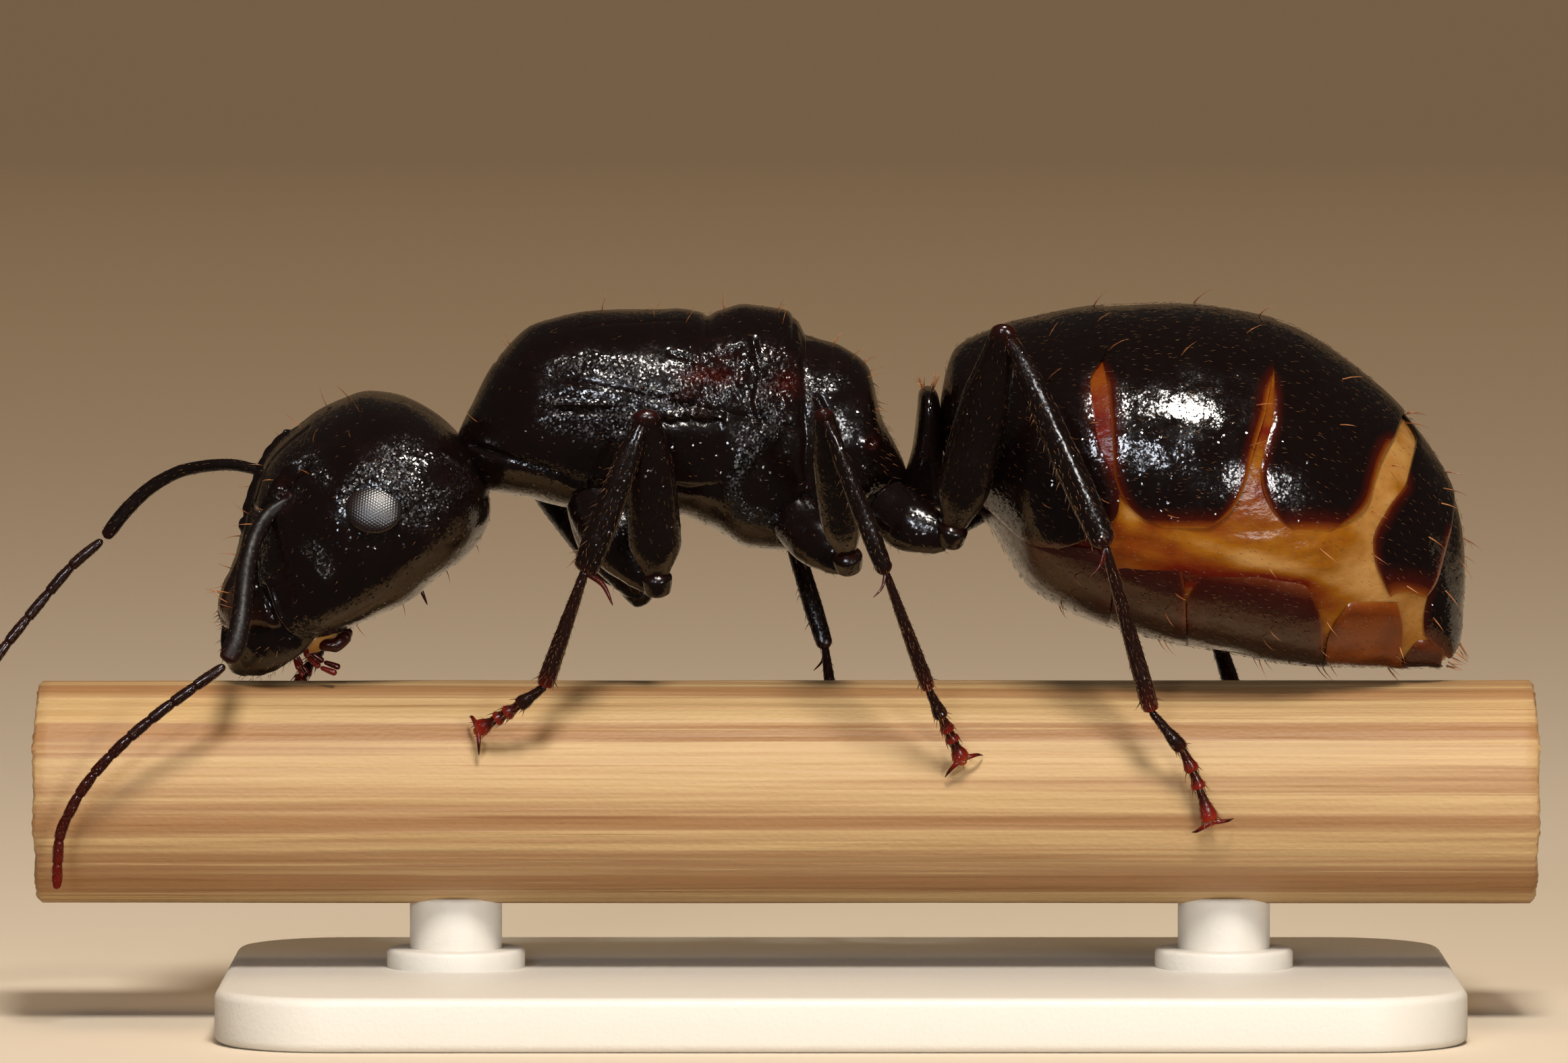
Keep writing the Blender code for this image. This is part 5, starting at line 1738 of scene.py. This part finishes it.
def grow_gaster(rng, short, tall):
    """Rows of long bristles across the gaster's plates, a tuft at its tip, and down all over it."""
    bristles = []
    for rows, middle, half_turn, length, radius in (
        (GASTER_BRISTLES, 0.0, 1.75, tall * 0.85, BRISTLE_RADII["gaster"]),
        (BELLY_BRISTLES, math.pi, 0.9, tall * 0.7, BRISTLE_RADII["belly"]),
    ):
        for x, z, count in rows:
            angle = middle + np.linspace(-half_turn, half_turn, count) + rng.normal(0, 0.10, count)
            u = np.full(count, GASTER.locate(x, z)[0]) + rng.normal(0, 0.008, count)
            bristles.append(Growth(GASTER, u, angle, length, radius, math.radians(33), curl=0.5))
    u, slant = np.full(14, 0.985), math.radians(50)
    bristles.append(Growth(GASTER, u, ring(14), tall * 0.7, BRISTLE_RADII["tip"], slant, curl=0.2))
    add_coat("gaster_bristles", "long_bristle", bristles, rng)
    hairs = [covering_growth(GASTER, 0.135, rng, short * 0.75, 0.0034, FLAT_DOWN, (0.04, 0.96))]
    add_coat("gaster_hairs", "fine_hair", hairs, rng, lift=-0.015)


def grow_legs(rng, short, part):
    """Down on one pair of legs, stiff hairs under their shins and rings of them on their feet."""
    hairs = []
    for side in SIDES:
        skins = leg_skins(f"{part}_{side}")
        hairs += [
            covering_growth(skins["coxa"], 0.17, rng, short * 0.9, 0.0042, SLOPING),
            covering_growth(skins["femur"], 0.13, rng, short * 0.7, DOWN_RADIUS, LYING),
            covering_growth(skins["tibia"], 0.080, rng, short * 0.8, 0.0040, LYING),
            covering_growth(skins["tibia"], 0.16, rng, short * 1.5, 0.0080, SLOPING, (0.3, 0.98), (2.2, 4.0)),
        ]
        for number in range(1, 6):
            skin = skins[f"tarsomere_{number}"]
            hairs.append(covering_growth(skin, 0.062, rng, short * 0.7, 0.0038, FOOT_DOWN))
            hairs.append(Growth(skin, np.full(8, 0.93), ring(8), short * 1.3, 0.0085, SLOPING, curl=0.1))
    add_coat(f"{part}_leg_hairs", "fine_hair", hairs, rng)


def grow_antennae(rng, short):
    """Down on both antennae."""
    hairs = []
    for side in SIDES:
        hairs.append(covering_growth(scape_skin(side), 0.10, rng, short * 0.6, DOWN_RADIUS, FOOT_DOWN))
        hairs.append(covering_growth(funiculus_skin(side), 0.055, rng, short * 0.4, 0.0032, math.radians(60)))
    add_coat("antenna_hairs", "fine_hair", hairs, rng)


class ANT_OT_bristles(bpy.types.Operator):
    """Grows the long bristles of the body and the fine hairs that lie along body, legs and antennae"""

    bl_idname = "ant.bristles"
    bl_label = "Bristles"

    def execute(self, context):
        coat = context.scene.ant_coat
        rng = np.random.default_rng(coat.seed)
        grow_head(rng, coat.lying_length, coat.erect_length)
        grow_trunk(rng, coat.lying_length, coat.erect_length)
        grow_gaster(rng, coat.lying_length, coat.erect_length)
        for part in SPURS:
            grow_legs(rng, coat.lying_length, part)
        grow_antennae(rng, coat.lying_length)
        return {"FINISHED"}


# ---------------------------------------------------------------- perch and stand


class StickSkin(Skin):
    """The cut stick along X: two sawn ends and a side of lengthwise fibres."""

    cap_share = 0.09  # of its rings at each end, which run out from the middle of the sawn face to its rim
    inset = 0.03  # how far the fibres and the sawn faces lie inside the stick's measures
    edge_ease = 0.05

    def spread(self, share):
        return share

    def frames(self, u):
        flat = np.zeros(len(u))
        along = clamp((u - self.cap_share) / (1 - 2 * self.cap_share))
        radius = PERCH_RADIUS * clamp(np.minimum(u, 1 - u) / self.cap_share)
        x = PERCH_MIDDLE + (along - 0.5) * PERCH_LENGTH
        middle = np.column_stack([x, flat, flat + PERCH_AXIS])
        return middle, np.column_stack([flat, flat, radius]), np.column_stack([flat, -radius, flat])

    def point(self, u, angle):
        points = super().point(u, angle)
        round_y, round_z = np.sin(angle), np.cos(angle)
        arc = np.column_stack([points[:, 0] * 0.03, round_y * PERCH_RADIUS, round_z * PERCH_RADIUS])
        fibres = 0.022 * roughness_of(arc, 0.42) + 0.014 * np.abs(roughness_of(arc, 0.15))
        fibres += 0.003 * roughness_of(arc, 0.06)
        share = clamp(np.minimum(u, 1 - u) / self.cap_share)
        eased = self.edge_ease * clamp((share - 0.96) / 0.04) * (share < 1)
        inward = (self.inset + fibres) * share + eased
        points[:, 1:] -= np.column_stack([-round_y, round_z]) * inward[:, None]
        sawn = 0.020 * roughness_of(points * np.array((0.0, 1.0, 1.0)), 0.10)
        saw_marks = 0.010 * np.sin(points[:, 2] / 0.16 + 2 * roughness_of(points, 0.9))
        ends = np.where(share < 0.97, 1.0, 0.0) * np.sign(u - 0.5)
        points[:, 0] -= ends * (self.inset + sawn + saw_marks)
        return points


class ANT_OT_perch(bpy.types.Operator):
    """Models the cut bamboo stick with its lengthwise fibres and sawn ends"""

    bl_idname = "ant.perch"
    bl_label = "Perch"

    def execute(self, context):
        add_piece("bamboo_stick", wrap(StickSkin(), 150, 560), "bamboo", "perch", sharp=60.0)
        return {"FINISHED"}


# Radii of the base's corners and of its rims, and of the rods' rims
BASE_CORNER, BASE_EDGE, ROD_EDGE = 1.5, 0.12, 0.06
COLLAR_WIDTH, COLLAR_TOP = 0.3, 0.95  # past the rod all round, and above the shelf
# How far a rod and its collar go down into the base, and the rod up into the stick
FOOT_LAP, TOP_LAP = 0.05, 0.03


def bevel_edges(bm, edges, offset, segments):
    """Rounds edges to this radius."""
    bmesh.ops.bevel(
        bm, geom=edges, offset=offset, offset_type="OFFSET", segments=segments, profile=0.5, affect="EDGES",
        material=-1,
    )


def stand_base(low, high):
    """A flat block with round corners and eased rims."""
    size = high - low
    bm = bmesh.new()
    bmesh.ops.create_cube(bm, size=1.0)
    bm.transform(Matrix.Translation((low + high) / 2) @ Matrix.Diagonal((*size, 1.0)))
    for upright_edges, offset, segments in ((True, BASE_CORNER, 14), (False, BASE_EDGE, 5)):
        edges = [
            edge for edge in bm.edges
            if (abs(edge.verts[0].co.z - edge.verts[1].co.z) > size.z / 2) == upright_edges
        ]
        bevel_edges(bm, edges, offset, segments)
    return bm


def round_bar(middle, radius, bottom, top):
    """An upright cylinder with eased rims."""
    bm = bmesh.new()
    bmesh.ops.create_cone(bm, cap_ends=True, segments=72, radius1=radius, radius2=radius, depth=top - bottom)
    bm.transform(Matrix.Translation((middle.x, middle.y, (bottom + top) / 2)))
    rims = [edge for edge in bm.edges if len({len(face.verts) for face in edge.link_faces}) > 1]
    bevel_edges(bm, rims, ROD_EDGE, 4)
    return bm


class ANT_OT_stand(bpy.types.Operator):
    """Models the display stand: a flat base with eased edges and two rods, each in a collar"""

    bl_idname = "ant.stand"
    bl_label = "Stand"

    def execute(self, context):
        low, high = (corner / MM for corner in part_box("stand_base"))
        add_piece("display_base", stand_base(low, high), "stand_plastic", "stand_base")
        bottom = high.z - low.z - FOOT_LAP
        for end in ("front", "back"):
            foot_corner, top_corner = (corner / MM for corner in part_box(f"stand_rod_{end}"))
            middle, radius = (foot_corner + top_corner) / 2, (top_corner.x - foot_corner.x) / 2
            rod = joined([
                round_bar(middle, radius, bottom, top_corner.z + TOP_LAP),
                round_bar(middle, radius + COLLAR_WIDTH, bottom, COLLAR_TOP),
            ])
            add_piece(f"display_rod_{end}", rod, "stand_plastic", f"stand_rod_{end}")
        return {"FINISHED"}


# ---------------------------------------------------------------- stage


AIM = (-0.728, 0.0, 6.373)  # what the camera and the lights on the ant point at
# Lights: (name, place, aim, width, colour)
LIGHTS = (
    ("key", (8.0, -72.0, 94.0), AIM, 25.0, "#fff8ee"),
    ("low", (64.0, -140.0, 16.0), AIM, 28.0, "#f8f6f4"),
    ("fill", (-60.0, -240.0, 86.0), AIM, 50.0, "#e6ecf6"),
    ("backdrop", (0.0, 60.0, 760.0), (0.0, 700.0, 90.0), 500.0, "#ffdaae"),
)
PAPER_HALF_WIDTH = 800.0
PAPER_DEPTH = 560.0  # of the floor, before and behind the ant
PAPER_SWEEP = 520.0  # the radius of its rise at the back
PAPER_JOIN = 4.0  # how far behind the ant the front sheet meets the back one
SENSOR_WIDTH = 36.0


def add_light(name, place, aim, size, colour, power):
    """A round soft light, turned to the aim, that the camera does not see."""
    lamp = bpy.data.lights.new(name, "AREA")
    lamp.shape = "DISK"
    lamp.size = size * MM
    lamp.energy = power
    lamp.color = linear(colour)
    light = linked(name, lamp)
    light.location = Vector(place) * MM
    light.rotation_euler = (Vector(aim) - Vector(place)).to_track_quat("-Z", "Y").to_euler()
    light.visible_camera = False


def add_paper(name, front, back, sweep):
    """A width of paper on the floor from front to back, swept up at its back where sweep is not 0."""
    bm = bmesh.new()
    edge = bm.edges.new([bm.verts.new((x, front, 0.0)) for x in (-PAPER_HALF_WIDTH, PAPER_HALF_WIDTH)])
    floor = bmesh.ops.extrude_edge_only(bm, edges=[edge])
    far = [item for item in floor["geom"] if isinstance(item, bmesh.types.BMVert)]
    bmesh.ops.translate(bm, verts=far, vec=(0, back - front, 0))
    if sweep:
        rear = [item for item in bm.edges if all(vert in far for vert in item.verts)]
        bmesh.ops.spin(
            bm, geom=rear + far, cent=(0, back, sweep), axis=(1, 0, 0), angle=math.pi / 2, steps=24
        )
    paper = add_object(name, metre_mesh(name, bm), "studio_paper")
    return paper


def add_camera(stage):
    """A camera that sees the stage's view width at the aim, from its distance and elevation."""
    camera = linked("camera", bpy.data.cameras.new("camera"))
    camera.data.sensor_width = SENSOR_WIDTH
    camera.data.lens = SENSOR_WIDTH * stage.distance / stage.view_width
    camera.data.clip_start = 0.01
    offset = Vector((0.0, -math.cos(stage.elevation), math.sin(stage.elevation))) * stage.distance
    camera.location = Vector(AIM) * MM + offset
    camera.rotation_euler = (-offset).to_track_quat("-Z", "Y").to_euler()
    bpy.context.scene.camera = camera


class ANT_OT_stage(bpy.types.Operator):
    """Sets the paper floor and backdrop, the soft lights and the camera"""

    bl_idname = "ant.stage"
    bl_label = "Stage"

    def execute(self, context):
        scene, stage = context.scene, context.scene.ant_stage
        add_paper("paper_sweep", PAPER_JOIN, PAPER_DEPTH, PAPER_SWEEP)
        for name, place, aim, size, colour in LIGHTS:
            add_light(name, place, aim, size, colour, getattr(stage, f"{name}_power"))
        # The front half stays out of reflections, as a studio's black cards would keep it.
        hidden = [add_paper("paper_front", -PAPER_DEPTH, PAPER_JOIN, 0.0)]
        for item in (*hidden, bpy.data.objects["display_base"], bpy.data.objects["backdrop"]):
            item.visible_glossy = False

        world = bpy.data.worlds.new("studio")
        world.use_nodes = True
        background = world.node_tree.nodes["Background"]
        background.inputs["Color"].default_value = (*linear("#f2e9dc"), 1.0)
        background.inputs["Strength"].default_value = stage.room_light
        scene.world = world
        scene.view_settings.view_transform = "Standard"  # keeps the blacks deep and the ambers clear
        add_camera(stage)
        return {"FINISHED"}


# ---------------------------------------------------------------- the add-on

PIECE_OPERATORS = (
    ANT_OT_head,
    ANT_OT_eyes,
    ANT_OT_mouthparts,
    ANT_OT_trunk,
    ANT_OT_gaster,
    ANT_OT_legs,
    ANT_OT_antennae,
    ANT_OT_bristles,
    ANT_OT_perch,
    ANT_OT_stand,
    ANT_OT_stage,
)


class ANT_PT_sidebar(bpy.types.Panel):
    """Lists the ant's pieces and their settings"""

    bl_label = "Carpenter Ant"
    bl_idname = "ANT_PT_sidebar"
    bl_space_type = "VIEW_3D"
    bl_region_type = "UI"
    bl_category = "Ant"

    def draw(self, context):
        for operator in PIECE_OPERATORS:
            self.layout.operator(operator.bl_idname)
        for settings in (context.scene.ant_colours, context.scene.ant_coat, context.scene.ant_stage):
            box = self.layout.box()
            for name in settings.bl_rna.properties.keys():
                if name not in ("rna_type", "name"):
                    box.prop(settings, name)


SETTINGS = {"ant_colours": AntColours, "ant_coat": AntCoat, "ant_stage": AntStage}


def register():
    for group in SETTINGS.values():
        bpy.utils.register_class(group)
    for name, group in SETTINGS.items():
        setattr(bpy.types.Scene, name, PointerProperty(type=group))
    for item in (*PIECE_OPERATORS, ANT_PT_sidebar):
        bpy.utils.register_class(item)


def unregister():
    for item in (ANT_PT_sidebar, *reversed(PIECE_OPERATORS)):
        bpy.utils.unregister_class(item)
    for name, group in SETTINGS.items():
        delattr(bpy.types.Scene, name)
        bpy.utils.unregister_class(group)


def main():
    register()
    for operator in PIECE_OPERATORS:
        group, name = operator.bl_idname.split(".")
        getattr(getattr(bpy.ops, group), name)()


if __name__ == "__main__":
    main()
